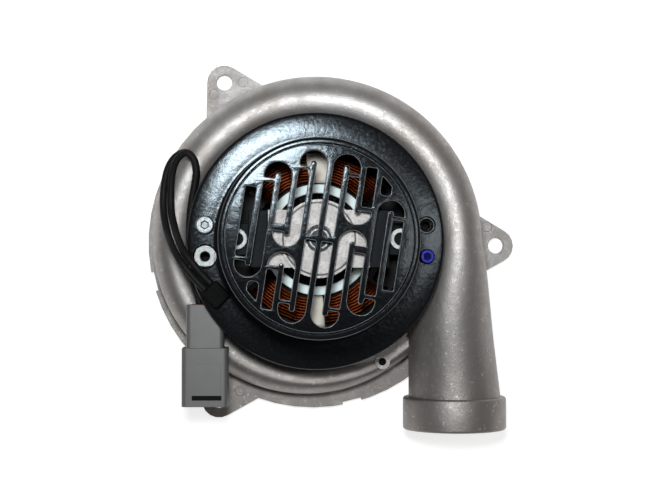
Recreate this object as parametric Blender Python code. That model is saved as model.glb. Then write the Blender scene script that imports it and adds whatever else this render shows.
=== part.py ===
"""A small DC centrifugal blower, lying on its mounting face with the motor axis upright.

Shapes are drawn about the motor axis: +Z runs up the axis from the mounting face, +X points at
the first mounting ear, and the outlet horn points along -Y. One empty then carries the whole
blower so that its footprint is centred on the origin. All sizes are in metres.
"""

import math

import bmesh
import bpy
from mathutils import Matrix, Vector

MM = 0.001

# Fits shared by many pieces
SEAT_GAP = 0.3 * MM
SLIDE_GAP = 0.35 * MM
OVERCUT = 1.0 * MM
JOIN_STEP = 0.25 * MM
WELD_DISTANCE = 0.001 * MM

# Volute: the scroll's inner wall leads, and what goes round it keeps its distance from it
SCROLL_INNER_RADIUS = 50.5 * MM
SCROLL_CHANNEL = 15.1 * MM
SCROLL_START_RADIUS = SCROLL_INNER_RADIUS + SCROLL_CHANNEL
SCROLL_GROWTH = 6.4 * MM
SCROLL_GROWTH_SHARE = 0.62
SCROLL_START_ANGLE = math.radians(-62)
SCROLL_SWEEP = math.radians(298)
SCROLL_WALL = 3.0 * MM
SCROLL_STEPS = 20
PASSAGE_STEPS = 12
CHAMBER_STEP = 10.0 * MM
CHAMBER_RADIUS = SCROLL_INNER_RADIUS + CHAMBER_STEP
CHAMBER_HEIGHT = 13.0 * MM
CHAMBER_SIDES = 40
CHAMBER_PHASE = math.pi / CHAMBER_SIDES
DECK_OVERLAP = 0.7 * MM
DECK_RADIUS = CHAMBER_RADIUS + DECK_OVERLAP
DECK_THICKNESS = 3.2 * MM
CROWN_STEP = 11.25 * MM
CROWN_RADIUS = SCROLL_INNER_RADIUS + CROWN_STEP
CROWN_LEAN = 4.0 * MM
CROWN_LIFT = 0.4 * MM
CROWN_RISE = 25.0 * MM
CROWN_ROUND = 11.0 * MM
CROWN_ROUND_SHARE = 0.6
CROWN_CLEAR = 2.0 * MM
SCROLL_LEAD_IN = math.radians(7)
TONGUE_ANGLE = math.radians(22)
TONGUE_INSET = 2.0 * MM
TONGUE_SINK = 0.6 * MM
BOSS_ANGLE = math.radians(-60.4)
BOSS_STEP = 9.9 * MM
BOSS_CIRCLE_RADIUS = SCROLL_INNER_RADIUS + BOSS_STEP
BOSS_RADIUS = 3.3 * MM
BOSS_HEIGHT = 2.2 * MM
BOSS_HOLE_RADIUS = 1.4 * MM
BOSS_HOLE_DEPTH = 4.0 * MM

# Mounting plate
PLATE_MARGIN = 8.5 * MM
PLATE_RADIUS = SCROLL_START_RADIUS + PLATE_MARGIN
PLATE_THICKNESS = 4.5 * MM
INLET_RADIUS = 24.0 * MM
EAR_COUNT = 3
EAR_START_ANGLE = math.radians(-0.9)
EAR_REACH = 8.45 * MM
BOLT_CIRCLE_RADIUS = PLATE_RADIUS + EAR_REACH
EAR_TIP_RADIUS = 7.7 * MM
EAR_HOLE_RADIUS = 3.6 * MM
EAR_HALF_ANGLE = math.radians(30)
EAR_ROOT_DEPTH = 8.0 * MM
NOTCH_COUNT = 4
NOTCH_ANGLE = math.radians(13.7)
NOTCH_LENGTH = 8.6 * MM
NOTCH_DEPTH = 1.3 * MM

# Outlet horn
HORN_STEP = 11.0 * MM
HORN_OFFSET = SCROLL_INNER_RADIUS + HORN_STEP
HORN_LENGTH = 67.7 * MM
HORN_RADIUS = 20.15 * MM
HORN_FLARE_LENGTH = 41.0 * MM
HORN_ROUNDING_LENGTH = 48.0 * MM
HORN_SIDE_POWER = 0.85
HORN_STEPS = 6
COLLAR_RADIUS = 22.6 * MM
COLLAR_LENGTH = 14.3 * MM
COLLAR_CHAMFER = 0.9 * MM
COLLAR_SIDES = 40
OUTLET_BORE_RADIUS = 17.5 * MM

# Motor cover
CAP_RADIUS = 39.5 * MM
FLANGE_WIDTH = 14.8 * MM
FLANGE_RADIUS = CAP_RADIUS + FLANGE_WIDTH
FLANGE_THICKNESS = 3.5 * MM
FLANGE_CROWN = 0.4 * MM
FLANGE_EDGE = 0.7 * MM
FLANGE_HEIGHT = 47.0 * MM
CAP_WALL = 2.3 * MM
CAP_FILLET = 3.6 * MM
CAP_EDGE = 1.3 * MM
LIP_WIDTH = 2.4 * MM
LEDGE_WIDTH = 1.1 * MM
LEDGE_THICKNESS = 1.8 * MM

# Cover posts on the deck, and what stands in the cover's four holes
POST_STEP = 7.2 * MM
POST_X = CAP_RADIUS + POST_STEP
POST_Y = 6.6 * MM
POST_RADIUS = 4.6 * MM
POST_HOLE_RADIUS = 2.2 * MM
POST_HOLE_DEPTH = 14.0 * MM
OPEN_POST_RADIUS = 4.3 * MM
OPEN_POST_SINK = 0.8 * MM
OPEN_HOLE_RADIUS = 5.3 * MM
COUNTERBORE_RADIUS = 3.6 * MM
COUNTERBORE_DEPTH = 1.2 * MM
COVER_HOLE_RADIUS = 2.4 * MM
SCREW_SHANK_RADIUS = 1.9 * MM
SCREW_REACH = 10.0 * MM
BRIGHT_HEAD_RADIUS = 4.0 * MM
BLUE_HEAD_RADIUS = 3.2 * MM
SCREW_HEAD_HEIGHT = 2.6 * MM
SOCKET_RADIUS = 1.7 * MM
SOCKET_DEPTH = 1.5 * MM

# Screws between plate and volute
HOUSING_SCREW_ANGLES = (45, 135, 225)
HOUSING_SCREW_INSET = 5.0 * MM
HOUSING_BOSS_RADIUS = 3.4 * MM
HOUSING_BOSS_HEIGHT = 9.0 * MM
HOUSING_SCREW_RADIUS = 1.5 * MM
HOUSING_SCREW_LENGTH = 9.5 * MM
HOUSING_HEAD_RADIUS = 2.9 * MM
HOUSING_HEAD_HEIGHT = 1.8 * MM

# Vent grille: hooked slots in leaning columns, the same again after half a turn
GRILLE_THICKNESS = 3.0 * MM
GRILLE_AIR = 2.0 * MM
GRILLE_LEAN = math.radians(8.7)
# The slots are drawn for one size of cap and follow it when it changes
SLOT_CAP_RADIUS = 39.5
SLOT_MM = CAP_RADIUS / SLOT_CAP_RADIUS
SLOT_PITCH = 6.5 * SLOT_MM
SLOT_WIDTH = 4.2 * SLOT_MM
SLOT_RIM_RADIUS = 33.5 * SLOT_MM
STRAIGHT_SLOTS = (
    (-4.5, -11.4 * SLOT_MM, 15.9 * SLOT_MM),
    (2.5, 14.75 * SLOT_MM, 30.2 * SLOT_MM),
)
# column, open end, centre of the turn, end of the hook, side hooked to, way of the turn
HOOKED_SLOTS = (
    (-3.5, 18.8 * SLOT_MM, -13.5 * SLOT_MM, -13.0 * SLOT_MM, -1, -1),
    (-2.5, 3.4 * SLOT_MM, 21.75 * SLOT_MM, 20.4 * SLOT_MM, -1, 1),
    (-1.5, 25.9 * SLOT_MM, 0.35 * SLOT_MM, 0.5 * SLOT_MM, -1, -1),
    (-0.5, 1.0 * SLOT_MM, 28.45 * SLOT_MM, 27.2 * SLOT_MM, -1, 1),
    (0.5, 1.0 * SLOT_MM, 28.65 * SLOT_MM, 27.0 * SLOT_MM, 1, 1),
    (1.5, 25.6 * SLOT_MM, 12.85 * SLOT_MM, 13.0 * SLOT_MM, 1, -1),
)
RIM_SLOT_COLUMN = 3.5
RIM_SLOT_BASE = 20.8 * SLOT_MM

# Shaft and bearings
SHAFT_RADIUS = 5.0 * MM
JOURNAL_RADIUS = 4.0 * MM
BEARING_RADIUS = 11.0 * MM
BEARING_WIDTH = 7.0 * MM
OUTER_RING_WALL = 1.8 * MM
INNER_RING_WALL = 1.6 * MM
BALL_COUNT = 7
BALL_GAP = 0.25 * MM
CAGE_WALL = 0.7 * MM
CAGE_WIDTH = 1.6 * MM
CIRCLIP_WIDTH = 1.0 * MM
CIRCLIP_THICKNESS = 0.8 * MM
SHAFT_TAIL = 2.0 * MM

# Impeller on the lower end of the shaft
IMPELLER_AIR = 5.5 * MM
IMPELLER_RADIUS = CHAMBER_RADIUS - IMPELLER_AIR
BLADE_END_STEP = 0.5 * MM
IMPELLER_DISC = 1.5 * MM
IMPELLER_BACK_AIR = 1.0 * MM
IMPELLER_EYE_RADIUS = 25.0 * MM
IMPELLER_HUB_RADIUS = 9.0 * MM
IMPELLER_HUB_LENGTH = 5.0 * MM
BLADE_COUNT = 10
BLADE_HEIGHT = 7.0 * MM
BLADE_THICKNESS = 1.4 * MM
BLADE_SWEEP = math.radians(42)
SHROUD_THICKNESS = 1.4 * MM
NUT_RADIUS = 6.6 * MM
NUT_HEIGHT = 3.6 * MM
WASHER_RADIUS = 7.6 * MM
WASHER_THICKNESS = 1.2 * MM
SPACER_WALL = 2.0 * MM
SHAFT_END_OUT = 0.5 * MM

# Front bracket
BRACKET_RADIUS = 40.0 * MM
BRACKET_RING_WIDTH = 12.0 * MM
BRACKET_THICKNESS = 3.2 * MM
BRACKET_HUB_WALL = 3.0 * MM
BEARING_FLOOR = 1.0 * MM
WINDOW_COUNT = 4
SPOKE_WIDTH = 9.0 * MM
PILLAR_RADIUS = 4.4 * MM

# Stator, field coils and armature
STATOR_RADIUS = 36.5 * MM
STATOR_BORE_RADIUS = 20.8 * MM
STACK_LENGTH = 26.0 * MM
YOKE_INNER_RADIUS = 29.0 * MM
SLOT_OUTER_RADIUS = 34.9 * MM
POLE_HALF_ANGLE = math.radians(47)
COIL_HALF_ANGLE = math.radians(51.5)
YOKE_HALF_ANGLE = math.radians(34)
STATOR_BOLT_X = 32.4 * MM
STATOR_BOLT_RADIUS = 1.9 * MM
STATOR_BOLT_HEAD_RADIUS = 4.2 * MM
STATOR_BOLT_HEAD_HEIGHT = 2.6 * MM
STATOR_BOLT_REACH = 9.0 * MM
COIL_TURNS = 5
COIL_WIRE = 1.2 * MM
COIL_PITCH = 1.85 * MM
COIL_FIRST_RADIUS = 24.6 * MM
COIL_HEAD_HEIGHT = 6.3 * MM
COIL_HEAD_AIR = 1.6 * MM
FORMER_OVERHANG = 1.9 * MM
FORMER_WALL = 2.7 * MM
FORMER_HEIGHT = 5.6 * MM
STRAP_WIDTH = 4.0 * MM
STRAP_THICKNESS = 0.8 * MM
AIR_GAP = 0.8 * MM
CORE_SLOTS = 12
CORE_SLOT_DEPTH = 7.5 * MM
CORE_SLOT_WIDTH = 3.0 * MM
CORE_SLOT_MOUTH = 1.2 * MM
CORE_TIP = 1.4 * MM
WINDING_RADIUS = 18.2 * MM
WINDING_SHOULDER = 2.0 * MM
WINDING_CROWN = 4.5 * MM
WINDING_BORE_RADIUS = 9.5 * MM
COMMUTATOR_RADIUS = 12.0 * MM
COMMUTATOR_LENGTH = 8.5 * MM
COMMUTATOR_BARS = 24
COMMUTATOR_AIR = 0.7 * MM
RISER_RADIUS = 13.2 * MM
RISER_HEIGHT = 1.6 * MM
FAN_RADIUS = 27.0 * MM
FAN_AIR = 1.4 * MM
FAN_DISC = 1.2 * MM
FAN_HEIGHT = 5.5 * MM
FAN_HUB_RADIUS = 9.0 * MM
FAN_BLADES = 9
FAN_BLADE_THICKNESS = 1.2 * MM
FAN_TO_COIL = 1.2 * MM

# Brush gear and rear bridge
BRUSH_WIDTH = 7.0 * MM
BRUSH_HEIGHT = 6.0 * MM
BRUSH_LENGTH = 11.0 * MM
BRUSH_LIFT = 0.4 * MM
SPRING_LENGTH = 5.2 * MM
SPRING_RADIUS = 2.0 * MM
SPRING_WIRE = 0.5 * MM
SPRING_CURLS = 3
SPRING_CURL_POINT_COUNT = 8
HOLDER_HALF_WIDTH = 11.3 * MM
HOLDER_FLOOR = 1.0 * MM
HOLDER_ROOF = 5.4 * MM
HOLDER_STEP = 2.8 * MM
HOLDER_OUTER_X = 27.8 * MM
HOLDER_FOOT_INNER_X = 26.6 * MM
HOLDER_FOOT_OUTER_X = 35.9 * MM
HOLDER_FOOT_HALF_WIDTH = 6.4 * MM
HOLDER_FOOT_DROP = 2.4 * MM
BRIDGE_HUB_RADIUS = 14.2 * MM
BRIDGE_ARM_X = 20.0 * MM
BRIDGE_ARM_THICKNESS = 4.6 * MM
BRIDGE_HOLE_RADIUS = 5.5 * MM
BRIDGE_ROOF = 2.7 * MM
COMMUTATOR_TO_BEARING = 1.5 * MM

# Leads: the pair's route over the scroll, and half the step between the two wires there
LEAD_DIAMETER = 3.1 * MM
LEAD_POINT_COUNT = 26
LEAD_ROUTE = (
    (-45.3, -19.2, 53.0),
    (-48.6, -15.9, 53.1),
    (-53.0, -10.7, 53.1),
    (-56.4, -6.2, 51.7),
    (-59.2, -1.2, 47.4),
    (-61.6, 4.8, 40.8),
    (-63.4, 12.7, 36.4),
    (-63.6, 21.3, 35.6),
    (-62.4, 30.0, 36.4),
    (-59.6, 35.6, 37.6),
    (-55.4, 38.0, 38.5),
    (-52.1, 35.2, 38.7),
    (-51.0, 29.9, 38.4),
    (-51.6, 24.4, 37.8),
    (-53.2, 15.0, 37.0),
    (-53.9, 4.0, 36.6),
    (-53.6, -7.0, 36.6),
    (-51.2, -16.5, 37.2),
    (-48.0, -22.6, 37.5),
    (-47.0, -26.6, 37.5),
)
LEAD_STEP = (
    (1.25, 1.25, 0.0),
    (1.25, 1.25, 0.0),
    (1.4, 1.1, 0.0),
    (1.4, 1.0, 0.1),
    (1.6, 0.7, 0.2),
    (1.7, 0.5, 0.4),
    (1.7, 0.1, 0.5),
    (1.6, -0.2, 0.8),
    (1.2, -0.5, 1.3),
    (0.6, -0.6, 1.7),
    (0.0, -0.3, 1.9),
    (0.0, 0.0, 2.0),
    (0.0, 0.0, 2.0),
    (0.0, 0.0, 2.0),
    (0.0, 0.0, 2.0),
    (0.0, 0.0, 2.0),
    (0.4, 0.0, 1.9),
    (1.4, 0.3, 1.4),
    (2.4, 0.4, 0.4),
    (2.6, 0.0, 0.0),
)
BOOT_LENGTH = 9.0 * MM
BOOT_WIDTH = 8.6 * MM
BOOT_HEIGHT = 4.4 * MM
BOOT_CHAMFER = 0.9 * MM
BOOT_HEADING = math.radians(135)

# Connector on the leads
CONNECTOR_X = -47.0 * MM
CONNECTOR_REAR_Y = -27.0 * MM
CONNECTOR_AXIS_Z = 37.5 * MM
REAR_SECTION = (16.0 * MM, 15.6 * MM, 18.4 * MM)
FRONT_SECTION = (19.6 * MM, 17.2 * MM, 24.8 * MM)
CONNECTOR_ROUND = 2.2 * MM
MOUTH_WALL = 2.0 * MM
MOUTH_DEPTH = 17.0 * MM
PIN_SPACING = 5.2 * MM
PIN_RADIUS = 1.0 * MM
PIN_LENGTH = 22.0 * MM
PIN_SINK = 4.0 * MM
WEDGE_LENGTH = 7.0 * MM
WEDGE_GAP = 1.2 * MM
SEAL_DEPTH = 5.0 * MM
SEAL_WALL = 2.4 * MM

# Levels up the motor axis, worked out from the sizes above
HOUSING_BASE = PLATE_THICKNESS + SEAT_GAP
CHAMBER_TOP = HOUSING_BASE + CHAMBER_HEIGHT
DECK_TOP = CHAMBER_TOP + DECK_THICKNESS
BRACKET_BASE = DECK_TOP + SEAT_GAP
FRONT_BEARING_BASE = BRACKET_BASE + BEARING_FLOOR + SEAT_GAP
FRONT_BEARING_TOP = FRONT_BEARING_BASE + BEARING_WIDTH
FAN_BASE = FRONT_BEARING_TOP + FAN_AIR
FAN_TOP = FAN_BASE + FAN_HEIGHT
STATOR_BASE = FAN_TOP + FAN_TO_COIL + COIL_HEAD_HEIGHT
STATOR_TOP = STATOR_BASE + STACK_LENGTH
COIL_TOP = STATOR_TOP + COIL_HEAD_HEIGHT
COMMUTATOR_BASE = COIL_TOP + COMMUTATOR_AIR
COMMUTATOR_TOP = COMMUTATOR_BASE + COMMUTATOR_LENGTH
REAR_BEARING_BASE = COMMUTATOR_TOP + COMMUTATOR_TO_BEARING
REAR_BEARING_TOP = REAR_BEARING_BASE + BEARING_WIDTH
BRIDGE_TOP = REAR_BEARING_TOP + SEAT_GAP + BRIDGE_ROOF
GRILLE_BASE = BRIDGE_TOP + GRILLE_AIR
GRILLE_TOP = GRILLE_BASE + GRILLE_THICKNESS
FLANGE_TOP = FLANGE_HEIGHT + FLANGE_THICKNESS
POST_TOP = FLANGE_HEIGHT - SEAT_GAP
HORN_AXIS_Z = HOUSING_BASE + HORN_RADIUS
HORN_END = HORN_LENGTH + COLLAR_LENGTH
IMPELLER_TOP = CHAMBER_TOP - IMPELLER_BACK_AIR
IMPELLER_HUB_BASE = IMPELLER_TOP - IMPELLER_HUB_LENGTH
WASHER_BASE = IMPELLER_HUB_BASE - SEAT_GAP - WASHER_THICKNESS
NUT_BASE = WASHER_BASE - SEAT_GAP - NUT_HEIGHT
BRUSH_BASE = COMMUTATOR_BASE + RISER_HEIGHT + BRUSH_LIFT
BRUSH_AXIS_Z = BRUSH_BASE + BRUSH_HEIGHT / 2
HOLDER_BASE = BRUSH_BASE - SLIDE_GAP - HOLDER_FLOOR
HOLDER_TOP = BRUSH_BASE + BRUSH_HEIGHT + HOLDER_ROOF
GRILLE_RADIUS = CAP_RADIUS - LIP_WIDTH - SEAT_GAP

# The footprint's middle, which the origin stands under
FIRST_EAR_X = BOLT_CIRCLE_RADIUS * math.cos(EAR_START_ANGLE)
SECOND_EAR_Y = BOLT_CIRCLE_RADIUS * math.sin(EAR_START_ANGLE + math.tau / EAR_COUNT)
FOOTPRINT_X = (FIRST_EAR_X + EAR_TIP_RADIUS - PLATE_RADIUS) / 2
FOOTPRINT_Y = (SECOND_EAR_Y + EAR_TIP_RADIUS - HORN_END) / 2

FINISHES = {
    "cast_aluminium": ((0.42, 0.40, 0.38), 0.45, 0.9),
    "bright_aluminium": ((0.80, 0.78, 0.75), 0.35, 0.8),
    "black_paint": ((0.012, 0.012, 0.014), 0.28, 0.0),
    "black_gloss": ((0.008, 0.008, 0.010), 0.12, 0.0),
    "steel": ((0.62, 0.62, 0.63), 0.30, 1.0),
    "blue_zinc": ((0.10, 0.12, 0.42), 0.28, 0.9),
    "lamination": ((0.23, 0.23, 0.24), 0.5, 0.8),
    "copper": ((0.43, 0.13, 0.04), 0.35, 0.8),
    "pale_insulation": ((0.78, 0.86, 0.85), 0.5, 0.0),
    "cream_tape": ((0.80, 0.72, 0.55), 0.7, 0.0),
    "phenolic": ((0.08, 0.08, 0.085), 0.5, 0.0),
    "carbon": ((0.03, 0.03, 0.03), 0.7, 0.0),
    "rubber": ((0.015, 0.015, 0.015), 0.7, 0.0),
    "wire_black": ((0.012, 0.012, 0.012), 0.45, 0.0),
    "grey_plastic": ((0.17, 0.16, 0.155), 0.5, 0.0),
    "blue_grey_plastic": ((0.20, 0.25, 0.31), 0.45, 0.0),
    "orange_rubber": ((0.55, 0.20, 0.06), 0.6, 0.0),
}


def clear_scene():
    for obj in list(bpy.data.objects):
        bpy.data.objects.remove(obj, do_unlink=True)


def make_materials():
    made = {}
    for name, (colour, roughness, metallic) in FINISHES.items():
        material = bpy.data.materials.new(name)
        material.use_nodes = True
        shader = material.node_tree.nodes["Principled BSDF"]
        shader.inputs["Base Color"].default_value = (*colour, 1.0)
        shader.inputs["Roughness"].default_value = roughness
        shader.inputs["Metallic"].default_value = metallic
        made[name] = material
    return made


def add_empty(name, parent=None, location=(0, 0, 0)):
    empty = bpy.data.objects.new(name, None)
    empty.location = location
    empty.parent = parent
    bpy.context.scene.collection.objects.link(empty)
    return empty


def add_mesh(name, bm, parent, material=None):
    """Link the shape as a visible piece, or as a hidden cutter when it has no material."""
    bmesh.ops.recalc_face_normals(bm, faces=bm.faces)
    mesh = bpy.data.meshes.new(name)
    bm.to_mesh(mesh)
    bm.free()
    obj = bpy.data.objects.new(name, mesh)
    obj.parent = parent
    bpy.context.scene.collection.objects.link(obj)
    if material is None:
        obj.hide_render = True
        obj.display_type = "WIRE"
        return obj
    mesh.materials.append(material)
    mesh.shade_smooth()
    mesh.set_sharp_from_angle(angle=math.radians(35))
    return obj


def boolean(target, other, operation):
    modifier = target.modifiers.new(other.name, "BOOLEAN")
    modifier.operation = operation
    modifier.object = other
    modifier.solver = "EXACT"


def turn(bm, profile, segments, centre=(0, 0), closed=True):
    """Spin a profile of (radius, height) about the vertical line through centre."""
    verts = [bm.verts.new((radius, 0, height)) for radius, height in profile]
    pairs = list(zip(verts, verts[1:]))
    if closed:
        pairs.append((verts[-1], verts[0]))
    edges = [bm.edges.new(pair) for pair in pairs]
    bmesh.ops.spin(
        bm,
        geom=verts + edges,
        cent=(0, 0, 0),
        axis=(0, 0, 1),
        angle=math.tau,
        steps=segments,
        use_merge=True,
    )
    bmesh.ops.remove_doubles(bm, verts=connected_verts(verts), dist=WELD_DISTANCE)
    seeds = [v for v in verts if v.is_valid]
    bmesh.ops.translate(bm, verts=connected_verts(seeds), vec=(*centre, 0))


def connected_verts(seeds):
    """Every vertex reached along edges from the seeds."""
    found = set(seeds)
    front = list(seeds)
    while front:
        vert = front.pop()
        for edge in vert.link_edges:
            other = edge.other_vert(vert)
            if other not in found:
                found.add(other)
                front.append(other)
    return list(found)


def disc(bm, radius, base, top, segments, centre=(0, 0)):
    middle = Matrix.Translation((*centre, (base + top) / 2))
    bmesh.ops.create_cone(
        bm,
        cap_ends=True,
        segments=segments,
        radius1=radius,
        radius2=radius,
        depth=top - base,
        matrix=middle,
    )


def ring(bm, inner, outer, base, top, segments, centre=(0, 0)):
    turn(bm, [(inner, base), (outer, base), (outer, top), (inner, top)], segments, centre)


def prism(bm, outline, base, top):
    """Raise a flat outline of (x, y) points from base to top."""
    face = bm.faces.new([bm.verts.new((x, y, base)) for x, y in outline])
    raised = bmesh.ops.extrude_face_region(bm, geom=[face])["geom"]
    lifted = [v for v in raised if isinstance(v, bmesh.types.BMVert)]
    bmesh.ops.translate(bm, verts=lifted, vec=(0, 0, top - base))


def standing_prism(bm, outline, half_width):
    """Raise an upright outline of (x, z) points to both sides along y."""
    prism(bm, outline, -half_width, half_width)
    upright = Matrix(((1, 0, 0, 0), (0, 0, 1, 0), (0, 1, 0, 0), (0, 0, 0, 1)))
    bmesh.ops.transform(bm, matrix=upright, verts=bm.verts)


def block(bm, low, high):
    outline = [(low[0], low[1]), (high[0], low[1]), (high[0], high[1]), (low[0], high[1])]
    prism(bm, outline, low[2], high[2])


def loft(bm, rings):
    """Skin a run of closed sections that all have the same number of points."""
    rows = [[bm.verts.new(point) for point in section] for section in rings]
    count = len(rows[0])
    skin = []
    for row, following in zip(rows, rows[1:]):
        for i in range(count):
            j = (i + 1) % count
            skin.append(bm.faces.new((row[i], row[j], following[j], following[i])))
    bm.faces.new(rows[0])
    bm.faces.new(rows[-1])
    # Twisted four-sided faces aren't flat, and later cuts need flat ones
    bmesh.ops.triangulate(bm, faces=skin)


def arc(centre, radius, start, end, steps):
    """Points along a round stretch, both ends included."""
    angles = [start + (end - start) * i / steps for i in range(steps + 1)]
    return [(centre[0] + radius * math.cos(a), centre[1] + radius * math.sin(a)) for a in angles]


def polar(radius, angle):
    return (radius * math.cos(angle), radius * math.sin(angle))


def turned_about(points, angle):
    cosine, sine = math.cos(angle), math.sin(angle)
    return [(x * cosine - y * sine, x * sine + y * cosine) for x, y in points]


def mix(a, b, share):
    return a + (b - a) * share


def ease(share):
    share = min(1.0, max(0.0, share))
    return share * share * (3 - 2 * share)


def tube(name, points, radius, resolution, parent, material):
    """A round cord along a run of points, closed at both ends."""
    curve = bpy.data.curves.new(name, "CURVE")
    curve.dimensions = "3D"
    curve.bevel_depth = radius
    curve.bevel_resolution = resolution
    curve.use_fill_caps = True
    spline = curve.splines.new("POLY")
    spline.points.add(len(points) - 1)
    for point, place in zip(spline.points, points):
        point.co = (*place, 1)
    curve.materials.append(material)
    obj = bpy.data.objects.new(name, curve)
    obj.parent = parent
    bpy.context.scene.collection.objects.link(obj)
    return obj


def smooth_run(points, count):
    """Evenly spaced points on a smooth curve that passes through the given ones."""
    fine = []
    padded = [2 * points[0] - points[1], *points, 2 * points[-1] - points[-2]]
    for a, b, c, d in zip(padded, padded[1:], padded[2:], padded[3:]):
        for i in range(24):
            t = i / 24
            fine.append(
                0.5
                * (
                    2 * b
                    + (c - a) * t
                    + (2 * a - 5 * b + 4 * c - d) * t**2
                    + (3 * b - a - 3 * c + d) * t**3
                )
            )
    fine.append(points[-1])
    along = [0.0]
    for a, b in zip(fine, fine[1:]):
        along.append(along[-1] + (b - a).length)
    run = []
    j = 0
    for i in range(count):
        wanted = along[-1] * i / (count - 1)
        while j < len(fine) - 2 and along[j + 1] < wanted:
            j += 1
        share = (wanted - along[j]) / (along[j + 1] - along[j])
        run.append(fine[j].lerp(fine[j + 1], share))
    return run


def least_gap_to_itself(points, diameter, skip):
    """The least clear distance between stretches of a wound tube that aren't neighbours."""
    least = math.inf
    for i, a in enumerate(points):
        for b in points[i + skip :]:
            least = min(least, (a - b).length)
    return least - diameter


def scroll_radius(t):
    grown = math.sin(math.pi / 2 * min(1.0, t / SCROLL_GROWTH_SHARE))
    return SCROLL_START_RADIUS + SCROLL_GROWTH * grown


def scroll_share(angle):
    """How far round the scroll a direction lies, 0 at the tongue and 1 at the horn."""
    return ((SCROLL_START_ANGLE - angle) % math.tau) / SCROLL_SWEEP


SECTION_DEGREES = (-45, -22, 0, 22, 45, 67, 90, 113, 135, 158, 180, 202, 225, 255, 285)
SECTION_ANGLES = [math.radians(degrees) for degrees in SECTION_DEGREES]


def hump_point(a, inner, crown_at, outer, base, crown, rounding):
    """A point on the scroll's section: flat floor, upright walls and a rounded crown."""
    quarter = math.pi / 4
    shoulder = crown - rounding
    if a < 0:
        return outer, mix(base, shoulder, (a + quarter) / quarter)
    if a <= math.pi:
        side = outer - crown_at if a < math.pi / 2 else crown_at - inner
        return crown_at + side * math.cos(a), shoulder + rounding * math.sin(a)
    if a <= math.pi + quarter:
        return inner, mix(shoulder, base, (a - math.pi) / quarter)
    return mix(inner, outer, (a - math.pi - quarter) / (math.pi / 2)), base


def scroll_section(t, inset, base):
    """The scroll's size at share t, drawn in by inset: inner, crown and outer radius, crown and rounding."""
    inner, outer = SCROLL_INNER_RADIUS + inset, scroll_radius(t) - inset
    crown = DECK_TOP + CROWN_LIFT + CROWN_RISE * t - inset
    rounding = min(CROWN_ROUND - inset * CROWN_ROUND_SHARE, crown - base - CROWN_CLEAR)
    return inner, min(CROWN_RADIUS, (inner + outer) / 2 + CROWN_LEAN), outer, crown, rounding


def scroll_ring(t, angle, inset, base):
    inner, crown_at, outer, crown, rounding = scroll_section(t, inset, base)
    section = [hump_point(a, inner, crown_at, outer, base, crown, rounding) for a in SECTION_ANGLES]
    return [Vector((*polar(r, angle), z)) for r, z in section]


def passage(inset, base, end_radius, end, steps, lead_in=0.0):
    """Sections along the scroll and out of the horn, drawn in by inset, from lead_in ahead of the start."""
    rings = []
    if lead_in:
        rings.append(scroll_ring(0.0, SCROLL_START_ANGLE + lead_in, inset, base))
    for i in range(steps + 1):
        t = i / steps
        rings.append(scroll_ring(t, SCROLL_START_ANGLE - SCROLL_SWEEP * t, inset, base))
    inner, _, outer, crown, rounding = scroll_section(1.0, inset, base)
    left_end = HORN_OFFSET - end_radius
    right_end = HORN_OFFSET + end_radius
    for i in range(1, HORN_STEPS + 1):
        along = HORN_LENGTH * i / HORN_STEPS
        rings.append(horn_ring(along, inner, outer, left_end, right_end, base, crown, rounding, end_radius))
    last = [Vector((p.x, -end, p.z)) for p in rings[-1]]
    rings.append(last)
    return rings


def horn_ring(along, inner, outer, left_end, right_end, base, crown, soft, end_radius):
    share = along / HORN_LENGTH
    left = mix(inner, left_end, ease(along / HORN_FLARE_LENGTH))
    right = mix(outer, right_end, share**HORN_SIDE_POWER)
    low = mix(base, HORN_AXIS_Z - end_radius, ease(3 * share))
    high = mix(crown, HORN_AXIS_Z + end_radius, ease(share))
    roundness = ease(along / HORN_ROUNDING_LENGTH)
    middle, half = (left + right) / 2, (right - left) / 2
    centre, tall = (low + high) / 2, (high - low) / 2
    section = []
    for a in SECTION_ANGLES:
        r, z = hump_point(a, left, middle, right, low, high, soft)
        x = mix(r, middle + half * math.cos(a), roundness)
        height = mix(z, centre + tall * math.sin(a), roundness)
        section.append(Vector((x, -along, height)))
    return section


def collar_rings():
    """The collar at the horn's end as circles along the outlet, with both edges chamfered."""
    near, far = COLLAR_RADIUS, COLLAR_RADIUS - COLLAR_CHAMFER
    start, end = HORN_LENGTH, HORN_END
    outline = ((far, start), (near, start + COLLAR_CHAMFER), (near, end - COLLAR_CHAMFER), (far, end))
    half_step = math.pi / COLLAR_SIDES
    rings = []
    for radius, along in outline:
        circle = arc((HORN_OFFSET, HORN_AXIS_Z), radius, half_step, math.tau - half_step, COLLAR_SIDES - 1)
        rings.append([Vector((x, -along, z)) for x, z in circle])
    return rings


def post_places():
    """The four cover holes, left to right: open post, bright screw, blue screw, counterbore."""
    return {
        "open": (-POST_X, -POST_Y),
        "bright": (-POST_X, POST_Y),
        "blue": (POST_X, -POST_Y),
        "counterbore": (POST_X, POST_Y),
    }


def housing_screw_places():
    places = [polar(BOSS_CIRCLE_RADIUS, BOSS_ANGLE)]
    for degrees in HOUSING_SCREW_ANGLES:
        angle = math.radians(degrees)
        places.append(polar(scroll_radius(scroll_share(angle)) - HOUSING_SCREW_INSET, angle))
    return places


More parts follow.
